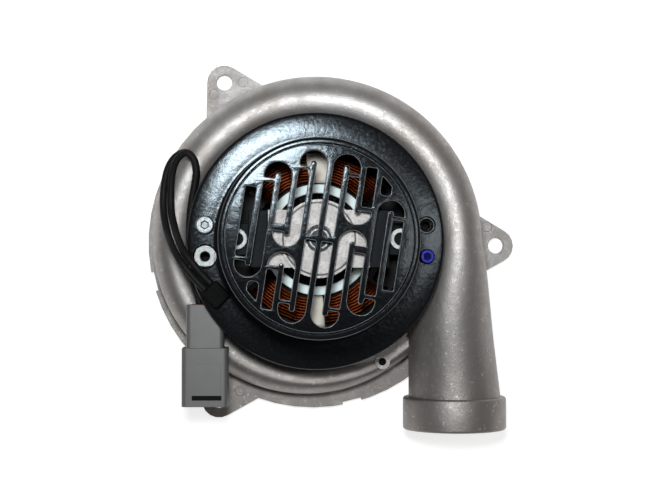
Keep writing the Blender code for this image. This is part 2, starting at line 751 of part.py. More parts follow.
def make_back_plate(parent, material):
    bm = bmesh.new()
    disc(bm, PLATE_RADIUS, 0, PLATE_THICKNESS, 54)
    plate = add_mesh("back_plate", bm, parent, material)

    tip = (BOLT_CIRCLE_RADIUS, 0)
    reach = math.pi / 2 - EAR_HALF_ANGLE
    nose = arc(tip, EAR_TIP_RADIUS, -reach, reach, 6)
    root_x = PLATE_RADIUS - EAR_ROOT_DEPTH
    root_y = nose[-1][1] + (nose[-1][0] - root_x) * math.tan(EAR_HALF_ANGLE)
    outline = [(root_x, -root_y), *nose, (root_x, root_y)]
    holes = bmesh.new()
    disc(holes, INLET_RADIUS, -OVERCUT, PLATE_THICKNESS + OVERCUT, 28)
    for i in range(EAR_COUNT):
        angle = EAR_START_ANGLE + math.tau * i / EAR_COUNT
        bm = bmesh.new()
        prism(bm, turned_about(outline, angle), 0, PLATE_THICKNESS)
        boolean(plate, add_mesh(f"ear_shape_{i + 1}", bm, parent), "UNION")
        place = polar(BOLT_CIRCLE_RADIUS, angle)
        disc(holes, EAR_HOLE_RADIUS, -OVERCUT, PLATE_THICKNESS + OVERCUT, 16, place)
    for i in range(NOTCH_COUNT):
        angle = NOTCH_ANGLE + math.tau * i / NOTCH_COUNT
        low, high = PLATE_RADIUS - NOTCH_DEPTH, PLATE_RADIUS + NOTCH_DEPTH
        half = NOTCH_LENGTH / 2
        notch = [(low, -half), (high, -half), (high, half), (low, half)]
        prism(holes, turned_about(notch, angle), -OVERCUT, PLATE_THICKNESS + OVERCUT)
    for place in housing_screw_places():
        head = HOUSING_HEAD_RADIUS + SEAT_GAP
        shank = HOUSING_SCREW_RADIUS + SEAT_GAP
        top = PLATE_THICKNESS + OVERCUT
        floor = HOUSING_HEAD_HEIGHT + 2 * SEAT_GAP
        steps = [(0, -OVERCUT), (head, -OVERCUT), (head, floor), (shank, floor), (shank, top), (0, top)]
        turn(holes, steps, 10, place, closed=False)
    boolean(plate, add_mesh("plate_holes", holes, parent), "DIFFERENCE")
    return plate


def make_volute(parent, material):
    bm = bmesh.new()
    inside_collar = HORN_LENGTH + COLLAR_LENGTH / 2
    loft(bm, passage(0, HOUSING_BASE, HORN_RADIUS, inside_collar, SCROLL_STEPS, SCROLL_LEAD_IN))
    volute = add_mesh("volute_housing", bm, parent, material)

    bm = bmesh.new()
    disc(bm, DECK_RADIUS, CHAMBER_TOP - OVERCUT, DECK_TOP, 48)
    boolean(volute, add_mesh("deck_shape", bm, parent), "UNION")

    bm = bmesh.new()
    inner, outer = SCROLL_INNER_RADIUS + TONGUE_INSET, SCROLL_START_RADIUS - TONGUE_INSET
    start, end = SCROLL_START_ANGLE, SCROLL_START_ANGLE + TONGUE_ANGLE
    tongue = arc((0, 0), outer, start, end, 4) + arc((0, 0), inner, end, start, 4)
    prism(bm, tongue, HOUSING_BASE + TONGUE_SINK, DECK_TOP - TONGUE_SINK)
    boolean(volute, add_mesh("tongue_shape", bm, parent), "UNION")

    bm = bmesh.new()
    loft(bm, collar_rings())
    boolean(volute, add_mesh("collar_shape", bm, parent), "UNION")

    bm = bmesh.new()
    floor, mouth = HOUSING_BASE - OVERCUT, HORN_END + OVERCUT
    loft(bm, passage(SCROLL_WALL, floor, OUTLET_BORE_RADIUS, mouth, PASSAGE_STEPS))
    boolean(volute, add_mesh("air_passage", bm, parent), "DIFFERENCE")
    bm = bmesh.new()
    outline = arc((0, 0), CHAMBER_RADIUS, CHAMBER_PHASE, math.tau - CHAMBER_PHASE, CHAMBER_SIDES - 1)
    prism(bm, outline, HOUSING_BASE - OVERCUT, CHAMBER_TOP)
    boolean(volute, add_mesh("impeller_chamber", bm, parent), "DIFFERENCE")

    posts = bmesh.new()
    places = post_places()
    foot, open_top = DECK_TOP - OVERCUT, FLANGE_TOP - OPEN_POST_SINK
    wide, narrow = POST_RADIUS, OPEN_POST_RADIUS
    stepped = [(wide, foot), (wide, POST_TOP), (narrow, POST_TOP), (narrow, open_top)]
    steps = [(0, foot), *stepped, (0, open_top)]
    turn(posts, steps, 14, places.pop("open"), closed=False)
    for place in places.values():
        disc(posts, POST_RADIUS, foot, POST_TOP, 14, place)
    disc(posts, BOSS_RADIUS, foot, DECK_TOP + BOSS_HEIGHT, 16, housing_screw_places()[0])
    boolean(volute, add_mesh("post_shapes", posts, parent), "UNION")

    bosses = bmesh.new()
    boss_base = HOUSING_BASE + JOIN_STEP
    for place in housing_screw_places():
        disc(bosses, HOUSING_BOSS_RADIUS, boss_base, HOUSING_BASE + HOUSING_BOSS_HEIGHT, 10, place)
    boolean(volute, add_mesh("boss_shapes", bosses, parent), "UNION")

    holes = bmesh.new()
    for place in post_places().values():
        disc(holes, POST_HOLE_RADIUS, POST_TOP - POST_HOLE_DEPTH, FLANGE_TOP + OVERCUT, 10, place)
    pilot = HOUSING_SCREW_RADIUS + SEAT_GAP
    tips = PLATE_THICKNESS + HOUSING_SCREW_LENGTH
    for place in housing_screw_places():
        disc(holes, pilot, HOUSING_BASE - OVERCUT, min(tips, CHAMBER_TOP - OVERCUT), 8, place)
    boss_top = DECK_TOP + BOSS_HEIGHT
    boss_place = housing_screw_places()[0]
    disc(holes, BOSS_HOLE_RADIUS, boss_top - BOSS_HOLE_DEPTH, boss_top + OVERCUT, 12, boss_place)
    spacer_hole = JOURNAL_RADIUS + SEAT_GAP + SPACER_WALL + SEAT_GAP
    disc(holes, spacer_hole, CHAMBER_TOP - OVERCUT, DECK_TOP + OVERCUT, 18)
    boolean(volute, add_mesh("volute_holes", holes, parent), "DIFFERENCE")
    return volute


def make_housing_screws(parent, material):
    for i, place in enumerate(housing_screw_places()):
        head, shank = HOUSING_HEAD_RADIUS, HOUSING_SCREW_RADIUS
        base, seat = SEAT_GAP, SEAT_GAP + HOUSING_HEAD_HEIGHT
        tip = min(SEAT_GAP + HOUSING_SCREW_LENGTH, HOUSING_BASE + HOUSING_BOSS_HEIGHT)
        bm = bmesh.new()
        steps = [(0, base), (head, base), (head, seat), (shank, seat), (shank, tip), (0, tip)]
        turn(bm, steps, 10, place, closed=False)
        add_mesh(f"housing_screw_{i + 1}", bm, parent, material)


def make_motor_cover(parent, material):
    inner = CAP_RADIUS - CAP_WALL
    lip = CAP_RADIUS - LIP_WIDTH
    ledge = lip - LEDGE_WIDTH
    ledge_top = GRILLE_BASE - SEAT_GAP
    ledge_base = ledge_top - LEDGE_THICKNESS
    shoulder = FLANGE_TOP + FLANGE_CROWN
    fillet = arc((CAP_RADIUS + CAP_FILLET, shoulder + CAP_FILLET), CAP_FILLET, -math.pi / 2, -math.pi, 2)
    edge = arc((CAP_RADIUS - CAP_EDGE, GRILLE_TOP - CAP_EDGE), CAP_EDGE, 0, math.pi / 2, 2)
    profile = [
        (inner, FLANGE_HEIGHT),
        (FLANGE_RADIUS, FLANGE_HEIGHT),
        (FLANGE_RADIUS, FLANGE_TOP - FLANGE_EDGE),
        (FLANGE_RADIUS - FLANGE_EDGE, FLANGE_TOP),
        *fillet,
        *edge,
        (lip, GRILLE_TOP),
        (lip, ledge_top),
        (ledge, ledge_top),
        (ledge, ledge_base),
        (inner, ledge_base - LEDGE_WIDTH),
    ]
    bm = bmesh.new()
    turn(bm, profile, 40)
    cover = add_mesh("motor_cover", bm, parent, material)
    holes = bmesh.new()
    base, top = FLANGE_HEIGHT - OVERCUT, shoulder + OVERCUT
    places = post_places()
    disc(holes, OPEN_HOLE_RADIUS, base, top, 20, places["open"])
    disc(holes, COVER_HOLE_RADIUS, base, top, 14, places["bright"])
    disc(holes, COVER_HOLE_RADIUS, base, top, 14, places["blue"])
    floor = FLANGE_TOP - COUNTERBORE_DEPTH
    wide, narrow = COUNTERBORE_RADIUS, COVER_HOLE_RADIUS
    steps = [(0, base), (narrow, base), (narrow, floor), (wide, floor), (wide, top), (0, top)]
    turn(holes, steps, 16, places["counterbore"], closed=False)
    boolean(cover, add_mesh("cover_holes", holes, parent), "DIFFERENCE")
    return cover


def hooked_slot(column, open_end, turn_at, hook_end, side, way):
    """Outline of a slot that runs along its column, turns round and hooks into the next one."""
    u, half = column * SLOT_PITCH, SLOT_WIDTH / 2
    middle = (u + side * SLOT_PITCH / 2, turn_at)
    from_here = math.pi if side > 0 else 0.0
    to_there = from_here - side * way * math.pi
    outer = arc(middle, (SLOT_PITCH + SLOT_WIDTH) / 2, from_here, to_there, 8)
    inner = arc(middle, (SLOT_PITCH - SLOT_WIDTH) / 2, to_there, from_here, 4)
    far = u + side * SLOT_PITCH
    return [
        (u - side * half, open_end),
        *outer,
        (far + side * half, hook_end),
        (far - side * half, hook_end),
        *inner,
        (u + side * half, open_end),
    ]


def slot_outlines():
    half = SLOT_WIDTH / 2
    outlines = []
    for column, low, high in STRAIGHT_SLOTS:
        left, right = column * SLOT_PITCH - half, column * SLOT_PITCH + half
        outlines.append([(left, low), (right, low), (right, high), (left, high)])
    outlines += [hooked_slot(*slot) for slot in HOOKED_SLOTS]
    left, right = RIM_SLOT_COLUMN * SLOT_PITCH - half, RIM_SLOT_COLUMN * SLOT_PITCH + half
    from_right, to_left = math.acos(right / SLOT_RIM_RADIUS), math.acos(left / SLOT_RIM_RADIUS)
    rim = arc((0, 0), SLOT_RIM_RADIUS, from_right, to_left, 3)
    outlines.append([(left, RIM_SLOT_BASE), (right, RIM_SLOT_BASE), *rim])
    return outlines


def make_vent_grille(parent, material):
    bm = bmesh.new()
    disc(bm, GRILLE_RADIUS, GRILLE_BASE, GRILLE_TOP, 48)
    grille = add_mesh("vent_grille", bm, parent, material)
    slots = bmesh.new()
    for outline in slot_outlines():
        for half_turn in (0.0, math.pi):
            leaned = turned_about(outline, half_turn - GRILLE_LEAN)
            prism(slots, leaned, GRILLE_BASE - OVERCUT, GRILLE_TOP + OVERCUT)
    boolean(grille, add_mesh("grille_slots", slots, parent), "DIFFERENCE")
    return grille


def make_cover_screw(name, place, head_radius, parent, material):
    seat = FLANGE_TOP + FLANGE_CROWN + SEAT_GAP
    top = seat + SCREW_HEAD_HEIGHT
    tip = POST_TOP - SCREW_REACH
    bm = bmesh.new()
    steps = [
        (0, tip),
        (SCREW_SHANK_RADIUS, tip),
        (SCREW_SHANK_RADIUS, seat),
        (head_radius, seat),
        (head_radius, top - 0.5 * MM),
        (head_radius - 0.5 * MM, top),
        (0, top),
    ]
    turn(bm, steps, 18, place, closed=False)
    screw = add_mesh(name, bm, parent, material)
    bm = bmesh.new()
    disc(bm, SOCKET_RADIUS, top - SOCKET_DEPTH, top + OVERCUT, 6, place)
    boolean(screw, add_mesh(f"{name}_socket", bm, parent), "DIFFERENCE")


def make_bearing(name, base, fixed, rotor, cage_parent, material):
    top = base + BEARING_WIDTH
    outer_bore = BEARING_RADIUS - OUTER_RING_WALL
    inner_bore = JOURNAL_RADIUS + SEAT_GAP / 2
    race = inner_bore + INNER_RING_WALL
    bm = bmesh.new()
    ring(bm, outer_bore, BEARING_RADIUS, base, top, 18)
    add_mesh(f"{name}_bearing_outer_ring", bm, fixed, material)
    bm = bmesh.new()
    ring(bm, inner_bore, race, base, top, 18)
    add_mesh(f"{name}_bearing_inner_ring", bm, rotor, material)

    pitch = (outer_bore + race) / 2
    ball = (outer_bore - race) / 2 - BALL_GAP
    middle = (base + top) / 2
    bm = bmesh.new()
    inside, outside = pitch - CAGE_WALL, pitch + CAGE_WALL
    ring(bm, inside, outside, middle - CAGE_WIDTH / 2, middle + CAGE_WIDTH / 2, 14)
    cage = add_mesh(f"{name}_bearing_ball_cage", bm, cage_parent, material)
    balls = bmesh.new()
    for i in range(BALL_COUNT):
        place = Matrix.Translation((*polar(pitch, math.tau * i / BALL_COUNT), middle))
        bmesh.ops.create_uvsphere(balls, u_segments=6, v_segments=3, radius=ball, matrix=place)
    boolean(cage, add_mesh(f"{name}_balls", balls, cage_parent), "UNION")


def make_shaft(parent, material):
    low = NUT_BASE - SHAFT_END_OUT
    shoulder = FRONT_BEARING_TOP + SEAT_GAP
    rear = REAR_BEARING_BASE - SEAT_GAP
    high = REAR_BEARING_TOP + SHAFT_TAIL
    bm = bmesh.new()
    steps = [
        (0, low),
        (JOURNAL_RADIUS, low),
        (JOURNAL_RADIUS, shoulder),
        (SHAFT_RADIUS, shoulder),
        (SHAFT_RADIUS, rear),
        (JOURNAL_RADIUS, rear),
        (JOURNAL_RADIUS, high),
        (0, high),
    ]
    turn(bm, steps, 16, closed=False)
    add_mesh("shaft", bm, parent, material)
    bm = bmesh.new()
    base = REAR_BEARING_TOP + SEAT_GAP
    bore = JOURNAL_RADIUS + SEAT_GAP / 2
    ring(bm, bore, bore + CIRCLIP_WIDTH, base, base + CIRCLIP_THICKNESS, 20)
    add_mesh("shaft_circlip", bm, parent, material)


def blade_outline(start, end, sweep, thickness, steps):
    """A curved blade seen along the axis, from its inner to its outer end."""
    left, right = [], []
    for i in range(steps + 1):
        share = i / steps
        radius, angle = mix(start, end, share), -sweep * share**1.3
        half = thickness / 2 / radius
        left.append(polar(radius, angle - half))
        right.append(polar(radius, angle + half))
    return left + right[::-1]


def make_impeller(parent, metal, steel):
    bore = JOURNAL_RADIUS + SEAT_GAP / 2
    disc_base = IMPELLER_TOP - IMPELLER_DISC
    bm = bmesh.new()
    profile = [
        (bore, IMPELLER_HUB_BASE),
        (IMPELLER_HUB_RADIUS, IMPELLER_HUB_BASE),
        (IMPELLER_HUB_RADIUS, disc_base),
        (IMPELLER_RADIUS, disc_base),
        (IMPELLER_RADIUS, IMPELLER_TOP),
        (bore, IMPELLER_TOP),
    ]
    turn(bm, profile, 32)
    impeller = add_mesh("impeller", bm, parent, metal)
    blade_base = disc_base - BLADE_HEIGHT
    outer = IMPELLER_RADIUS - BLADE_END_STEP
    outline = blade_outline(IMPELLER_EYE_RADIUS + OVERCUT, outer, BLADE_SWEEP, BLADE_THICKNESS, 3)
    blades = bmesh.new()
    for i in range(BLADE_COUNT):
        blade = turned_about(outline, math.tau * i / BLADE_COUNT)
        prism(blades, blade, blade_base, disc_base + BLADE_END_STEP)
    boolean(impeller, add_mesh("impeller_blades", blades, parent), "UNION")

    bm = bmesh.new()
    top = blade_base - SEAT_GAP
    ring(bm, IMPELLER_EYE_RADIUS, IMPELLER_RADIUS, top - SHROUD_THICKNESS, top, 32)
    add_mesh("impeller_shroud", bm, parent, metal)
    bm = bmesh.new()
    ring(bm, bore, WASHER_RADIUS, WASHER_BASE, WASHER_BASE + WASHER_THICKNESS, 20)
    add_mesh("impeller_washer", bm, parent, steel)
    bm = bmesh.new()
    disc(bm, NUT_RADIUS, NUT_BASE, NUT_BASE + NUT_HEIGHT, 6)
    nut = add_mesh("impeller_nut", bm, parent, steel)
    bm = bmesh.new()
    disc(bm, bore, NUT_BASE - OVERCUT, WASHER_BASE + OVERCUT, 16)
    boolean(nut, add_mesh("nut_bore", bm, parent), "DIFFERENCE")
    bm = bmesh.new()
    ring(bm, bore, bore + SPACER_WALL, IMPELLER_TOP + SEAT_GAP, FRONT_BEARING_BASE - SEAT_GAP, 20)
    add_mesh("impeller_spacer", bm, parent, steel)


def make_front_bracket(parent, material):
    hub = BEARING_RADIUS + SEAT_GAP / 2 + BRACKET_HUB_WALL
    top = BRACKET_BASE + BRACKET_THICKNESS
    bm = bmesh.new()
    profile = [
        (0, BRACKET_BASE),
        (BRACKET_RADIUS, BRACKET_BASE),
        (BRACKET_RADIUS, top),
        (hub, top),
        (hub, FRONT_BEARING_TOP),
        (0, FRONT_BEARING_TOP),
    ]
    turn(bm, profile, 28, closed=False)
    bracket = add_mesh("front_bracket", bm, parent, material)
    windows = bmesh.new()
    near, far = hub + OVERCUT, BRACKET_RADIUS - BRACKET_RING_WIDTH
    near_half = math.pi / WINDOW_COUNT - math.asin(SPOKE_WIDTH / 2 / near)
    far_half = math.pi / WINDOW_COUNT - math.asin(SPOKE_WIDTH / 2 / far)
    window = arc((0, 0), far, -far_half, far_half, 3) + arc((0, 0), near, near_half, -near_half, 2)
    for i in range(WINDOW_COUNT):
        turned = turned_about(window, math.tau * i / WINDOW_COUNT)
        prism(windows, turned, BRACKET_BASE - OVERCUT, top + OVERCUT)
    boolean(bracket, add_mesh("bracket_windows", windows, parent), "DIFFERENCE")
    pillars = bmesh.new()
    holes = bmesh.new()
    pillar_top = STATOR_BASE - SEAT_GAP
    for side in (-1, 1):
        place = (side * STATOR_BOLT_X, 0)
        disc(pillars, PILLAR_RADIUS, top - OVERCUT, pillar_top, 12, place)
        deep = pillar_top - STATOR_BOLT_REACH - OVERCUT
        disc(holes, STATOR_BOLT_RADIUS + SEAT_GAP, deep, pillar_top + OVERCUT, 8, place)
    floor = BRACKET_BASE + BEARING_FLOOR
    seat = BEARING_RADIUS + SEAT_GAP / 2
    step = JOURNAL_RADIUS + SPACER_WALL + 3 * SEAT_GAP
    bore = [
        (0, BRACKET_BASE - OVERCUT),
        (step, BRACKET_BASE - OVERCUT),
        (step, floor),
        (seat, floor),
        (seat, FRONT_BEARING_TOP + OVERCUT),
        (0, FRONT_BEARING_TOP + OVERCUT),
    ]
    turn(holes, bore, 18, closed=False)
    boolean(bracket, add_mesh("pillar_shapes", pillars, parent), "UNION")
    boolean(bracket, add_mesh("bracket_bores", holes, parent), "DIFFERENCE")


def stator_opening():
    """The stack's inner outline: two poles, four coil slots and two open sides."""
    points = []
    for half_turn in (0.0, math.pi):
        up = math.pi / 2 + half_turn
        pole = arc((0, 0), STATOR_BORE_RADIUS, up - POLE_HALF_ANGLE, up + POLE_HALF_ANGLE, 14)
        side_start, side_end = up + math.pi / 2 - YOKE_HALF_ANGLE, up + math.pi / 2 + YOKE_HALF_ANGLE
        slot_end, slot_start = up + POLE_HALF_ANGLE, up + math.pi - POLE_HALF_ANGLE
        points += pole
        points += arc((0, 0), SLOT_OUTER_RADIUS, slot_end, side_start, 2)
        points += arc((0, 0), YOKE_INNER_RADIUS, side_start, side_end, 8)
        points += arc((0, 0), SLOT_OUTER_RADIUS, side_end, slot_start, 2)
    return points


def make_stator(parent, material):
    bm = bmesh.new()
    disc(bm, STATOR_RADIUS, STATOR_BASE, STATOR_TOP, 48)
    stator = add_mesh("stator_core", bm, parent, material)
    bm = bmesh.new()
    prism(bm, stator_opening(), STATOR_BASE - OVERCUT, STATOR_TOP + OVERCUT)
    for side in (-1, 1):
        place = (side * STATOR_BOLT_X, 0)
        disc(bm, STATOR_BOLT_RADIUS + SEAT_GAP, STATOR_BASE - OVERCUT, STATOR_TOP + OVERCUT, 12, place)
    boolean(stator, add_mesh("stator_openings", bm, parent), "DIFFERENCE")


def loop_shape():
    """One loop of a field coil as shares of its half angle and half height, 24 points long."""
    corner = ((1.0, -0.68), (1.0, 0.0), (1.0, 0.68), (0.975, 0.93), (0.90, 1.0), (0.6, 1.0))
    right = list(corner)
    top = [(0.3, 1.0), (0.0, 1.0), (-0.3, 1.0), (-0.6, 1.0), (-0.90, 1.0), (-0.975, 0.93)]
    return right + top + [(-a, -z) for a, z in right + top]


def coil_points(upside_down):
    """The wound wire: each loop passes up one slot, over the pole and down the other slot."""
    shape = loop_shape()
    middle = (STATOR_BASE + STATOR_TOP) / 2
    half_height = STACK_LENGTH / 2 + COIL_HEAD_HEIGHT - COIL_HEAD_AIR - COIL_WIRE / 2
    facing = math.pi / 2 + (math.pi if upside_down else 0.0)
    points = []
    for i in range(COIL_TURNS * len(shape) + 1):
        share, height = shape[i % len(shape)]
        radius = COIL_FIRST_RADIUS + COIL_PITCH * i / len(shape)
        angle = facing - share * COIL_HALF_ANGLE
        points.append(Vector((*polar(radius, angle), middle + height * half_height)))
    return points


def make_field_coils(parent, material):
    for name, upside_down in (("field_coil_upper", False), ("field_coil_lower", True)):
        points = coil_points(upside_down)
        tube(name, points, COIL_WIRE / 2, 1, parent, material)
        gap = least_gap_to_itself(points, COIL_WIRE, len(loop_shape()) // 2)
        print(f"{name}: least gap to itself {gap / MM:.2f} mm")


def make_coil_straps(parent, material):
    """A strap over the middle of each coil head, standing on the stack."""
    inner = COIL_FIRST_RADIUS - COIL_WIRE / 2 - SEAT_GAP - STRAP_THICKNESS
    outer = COIL_FIRST_RADIUS + COIL_PITCH * COIL_TURNS + COIL_WIRE / 2 + SEAT_GAP + STRAP_THICKNESS
    base, top = STATOR_TOP + SEAT_GAP, COIL_TOP - SEAT_GAP
    t = STRAP_THICKNESS
    arch = [
        (inner, base),
        (inner + t, base),
        (inner + t, top - t),
        (outer - t, top - t),
        (outer - t, base),
        (outer, base),
        (outer, top),
        (inner, top),
    ]
    for name, side in (("coil_strap_upper", 1), ("coil_strap_lower", -1)):
        bm = bmesh.new()
        standing_prism(bm, arch, STRAP_WIDTH / 2)
        facing = Matrix.Rotation(side * math.pi / 2, 4, "Z")
        bmesh.ops.transform(bm, matrix=facing, verts=bm.verts)
        add_mesh(name, bm, parent, material)


def make_coil_former(parent, material):
    bm = bmesh.new()
    base = STATOR_TOP + SEAT_GAP
    inner = STATOR_BORE_RADIUS - FORMER_OVERHANG
    ring(bm, inner, inner + FORMER_WALL, base, base + FORMER_HEIGHT, 40)
    add_mesh("coil_former", bm, parent, material)


def make_stator_bolts(parent, material):
    foot_top = HOLDER_TOP - HOLDER_FOOT_DROP
    for name, side in (("stator_bolt_left", -1), ("stator_bolt_right", 1)):
        tip = STATOR_BASE - SEAT_GAP - STATOR_BOLT_REACH
        seat = foot_top + SEAT_GAP
        top = seat + STATOR_BOLT_HEAD_HEIGHT
        bm = bmesh.new()
        shank, head = STATOR_BOLT_RADIUS, STATOR_BOLT_HEAD_RADIUS
        steps = [(0, tip), (shank, tip), (shank, seat), (head, seat), (head, top), (0, top)]
        turn(bm, steps, 16, (side * STATOR_BOLT_X, 0), closed=False)
        bolt = add_mesh(name, bm, parent, material)
        bm = bmesh.new()
        disc(bm, SOCKET_RADIUS, top - SOCKET_DEPTH, top + OVERCUT, 6, (side * STATOR_BOLT_X, 0))
        boolean(bolt, add_mesh(f"{name}_socket", bm, parent), "DIFFERENCE")


def core_outline():
    """An armature lamination: teeth with tips that nearly close their slots."""
    radius = STATOR_BORE_RADIUS - AIR_GAP
    points = []
    for i in range(CORE_SLOTS):
        facing = math.tau * i / CORE_SLOTS
        mouth, slot = CORE_SLOT_MOUTH / 2, CORE_SLOT_WIDTH / 2
        tip, floor = radius - CORE_TIP, radius - CORE_SLOT_DEPTH
        next_mouth = facing + math.tau / CORE_SLOTS
        local = [
            (tip, -mouth),
            (tip, -slot),
            (floor, -slot),
            (floor, slot),
            (tip, slot),
            (tip, mouth),
        ]
        points += turned_about(local, facing)
        lean = math.asin(mouth / radius)
        points += arc((0, 0), radius, facing + lean, next_mouth - lean, 2)
    return points


def make_armature(parent, materials):
    bore = SHAFT_RADIUS + SEAT_GAP / 2
    bm = bmesh.new()
    prism(bm, core_outline(), STATOR_BASE, STATOR_TOP)
    core = add_mesh("armature_core", bm, parent, materials["lamination"])
    bm = bmesh.new()
    disc(bm, bore, STATOR_BASE - OVERCUT, STATOR_TOP + OVERCUT, 20)
    boolean(core, add_mesh("core_bore", bm, parent), "DIFFERENCE")
    reach = COIL_HEAD_HEIGHT - SEAT_GAP
    heads = (
        ("armature_winding_front", STATOR_BASE - SEAT_GAP, -reach),
        ("armature_winding_rear", STATOR_TOP + SEAT_GAP, reach),
    )
    for name, foot, height in heads:
        top = foot + height
        bm = bmesh.new()
        profile = [
            (bore, foot),
            (WINDING_RADIUS, foot),
            (WINDING_RADIUS, foot + height * 0.5),
            (WINDING_RADIUS - WINDING_SHOULDER, foot + height * 0.85),
            (WINDING_RADIUS - WINDING_CROWN, top),
            (WINDING_BORE_RADIUS, top),
            (bore, foot + height * 0.6),
        ]
        turn(bm, profile, 20)
        add_mesh(name, bm, parent, materials["copper"])

    bm = bmesh.new()
    base, top = COMMUTATOR_BASE, COMMUTATOR_TOP
    riser = base + RISER_HEIGHT
    profile = [
        (bore, base),
        (RISER_RADIUS, base),
        (RISER_RADIUS, riser),
        (COMMUTATOR_RADIUS, riser),
        (COMMUTATOR_RADIUS, top),
        (bore, top),
    ]
    turn(bm, profile, COMMUTATOR_BARS)
    add_mesh("commutator", bm, parent, materials["copper"])


def make_cooling_fan(parent, material):
    bore = SHAFT_RADIUS + SEAT_GAP / 2
    bm = bmesh.new()
    profile = [
        (bore, FAN_BASE),
        (FAN_RADIUS, FAN_BASE),
        (FAN_RADIUS, FAN_BASE + FAN_DISC),
        (FAN_HUB_RADIUS, FAN_BASE + FAN_DISC),
        (FAN_HUB_RADIUS, FAN_TOP),
        (bore, FAN_TOP),
    ]
    turn(bm, profile, 24)
    fan = add_mesh("cooling_fan", bm, parent, material)
    half = FAN_BLADE_THICKNESS / 2
    start, end = FAN_HUB_RADIUS - OVERCUT, FAN_RADIUS - OVERCUT
    blade = [(start, -half), (end, -half), (end, half), (start, half)]
    blades = bmesh.new()
    for i in range(FAN_BLADES):
        angle = math.tau * (i + 0.25) / FAN_BLADES
        prism(blades, turned_about(blade, angle), FAN_BASE + FAN_DISC / 2, FAN_TOP - SEAT_GAP)
    boolean(fan, add_mesh("fan_blades", blades, parent), "UNION")


def make_brush_gear(parent, brush_parents, materials):
    """Both holders, with a carbon brush that slides in each and the spring behind it."""
    start = BRIDGE_HUB_RADIUS + SEAT_GAP
    brush_in = COMMUTATOR_RADIUS + SEAT_GAP
    brush_out = brush_in + BRUSH_LENGTH
    channel_end = brush_out + SPRING_LENGTH + 2 * SEAT_GAP
    step_x = BRIDGE_ARM_X + SEAT_GAP
    foot_wide = HOLDER_FOOT_HALF_WIDTH
    foot_top = HOLDER_TOP - HOLDER_FOOT_DROP
    side_view = [
        (start, HOLDER_BASE),
        (HOLDER_OUTER_X, HOLDER_BASE),
        (HOLDER_OUTER_X, HOLDER_TOP + HOLDER_STEP),
        (step_x, HOLDER_TOP + HOLDER_STEP),
        (step_x, HOLDER_TOP),
        (start, HOLDER_TOP),
    ]
    for name, side in (("left", -1), ("right", 1)):
        bm = bmesh.new()
        standing_prism(bm, side_view, HOLDER_HALF_WIDTH)
        holder = add_mesh(f"brush_holder_{name}", bm, parent, materials["phenolic"])
        bm = bmesh.new()
        foot_base = STATOR_TOP + SEAT_GAP
        block(bm, (HOLDER_FOOT_INNER_X, -foot_wide, foot_base), (HOLDER_FOOT_OUTER_X, foot_wide, foot_top))
        foot = add_mesh(f"holder_foot_{name}", bm, parent)
        bm = bmesh.new()
        half = BRUSH_WIDTH / 2 + SLIDE_GAP
        low, high = BRUSH_BASE - SLIDE_GAP, BRUSH_BASE + BRUSH_HEIGHT + SLIDE_GAP
        block(bm, (start - OVERCUT, -half, low), (channel_end, half, high))
        bolt_hole = STATOR_BOLT_RADIUS + SEAT_GAP
        disc(bm, bolt_hole, foot_base - OVERCUT, foot_top + OVERCUT, 12, (STATOR_BOLT_X, 0))
        channel = add_mesh(f"brush_channel_{name}", bm, parent)
        if side < 0:
            for piece in (holder, foot, channel):
                piece.data.transform(Matrix.Rotation(math.pi, 4, "Z"))
        boolean(holder, foot, "UNION")
        boolean(holder, channel, "DIFFERENCE")

        bm = bmesh.new()
        half = BRUSH_WIDTH / 2
        block(bm, (-BRUSH_LENGTH / 2, -half, -BRUSH_HEIGHT / 2), (BRUSH_LENGTH / 2, half, BRUSH_HEIGHT / 2))
        add_mesh(f"carbon_brush_{name}", bm, brush_parents[name], materials["carbon"])

        spring_start = brush_out + SEAT_GAP + SPRING_WIRE / 2
        travel = SPRING_LENGTH - 2 * SEAT_GAP - SPRING_WIRE
        points = []
        for i in range(SPRING_CURLS * SPRING_CURL_POINT_COUNT + 1):
            angle = math.tau * i / SPRING_CURL_POINT_COUNT
            x = spring_start + travel * i / (SPRING_CURLS * SPRING_CURL_POINT_COUNT)
            points.append(Vector((x * side, *polar(SPRING_RADIUS, angle))) + Vector((0, 0, BRUSH_AXIS_Z)))
        tube(f"brush_spring_{name}", points, SPRING_WIRE / 2, 1, parent, materials["steel"])
        gap = least_gap_to_itself(points, SPRING_WIRE, 5)
        print(f"brush_spring_{name}: least gap to itself {gap / MM:.2f} mm")


def make_rear_bridge(parent, material):
    arm_base = HOLDER_TOP + SEAT_GAP
    arm_top = arm_base + BRIDGE_ARM_THICKNESS
    bm = bmesh.new()
    block(bm, (-BRIDGE_ARM_X, -HOLDER_HALF_WIDTH, arm_base), (BRIDGE_ARM_X, HOLDER_HALF_WIDTH, arm_top))
    bridge = add_mesh("rear_bridge", bm, parent, material)
    bm = bmesh.new()
    disc(bm, BRIDGE_HUB_RADIUS, REAR_BEARING_BASE - SEAT_GAP, BRIDGE_TOP, 32)
    boolean(bridge, add_mesh("bridge_hub_shape", bm, parent), "UNION")
    seat = BEARING_RADIUS + SEAT_GAP / 2
    roof = REAR_BEARING_TOP + SEAT_GAP
    hole = BRIDGE_HOLE_RADIUS
    bore = [
        (0, REAR_BEARING_BASE - 2 * OVERCUT),
        (seat, REAR_BEARING_BASE - 2 * OVERCUT),
        (seat, roof),
        (hole, roof),
        (hole, BRIDGE_TOP + OVERCUT),
        (0, BRIDGE_TOP + OVERCUT),
    ]
    bm = bmesh.new()
    turn(bm, bore, 28, closed=False)
    boolean(bridge, add_mesh("bridge_bore", bm, parent), "DIFFERENCE")


def lead_points(sign):
    """One wire of the pair: the route moved by its half step to one side."""
    places = []
    for base, step in zip(LEAD_ROUTE, LEAD_STEP):
        places.append((Vector(base) + sign * Vector(step)) * MM)
    return smooth_run(places, LEAD_POINT_COUNT)


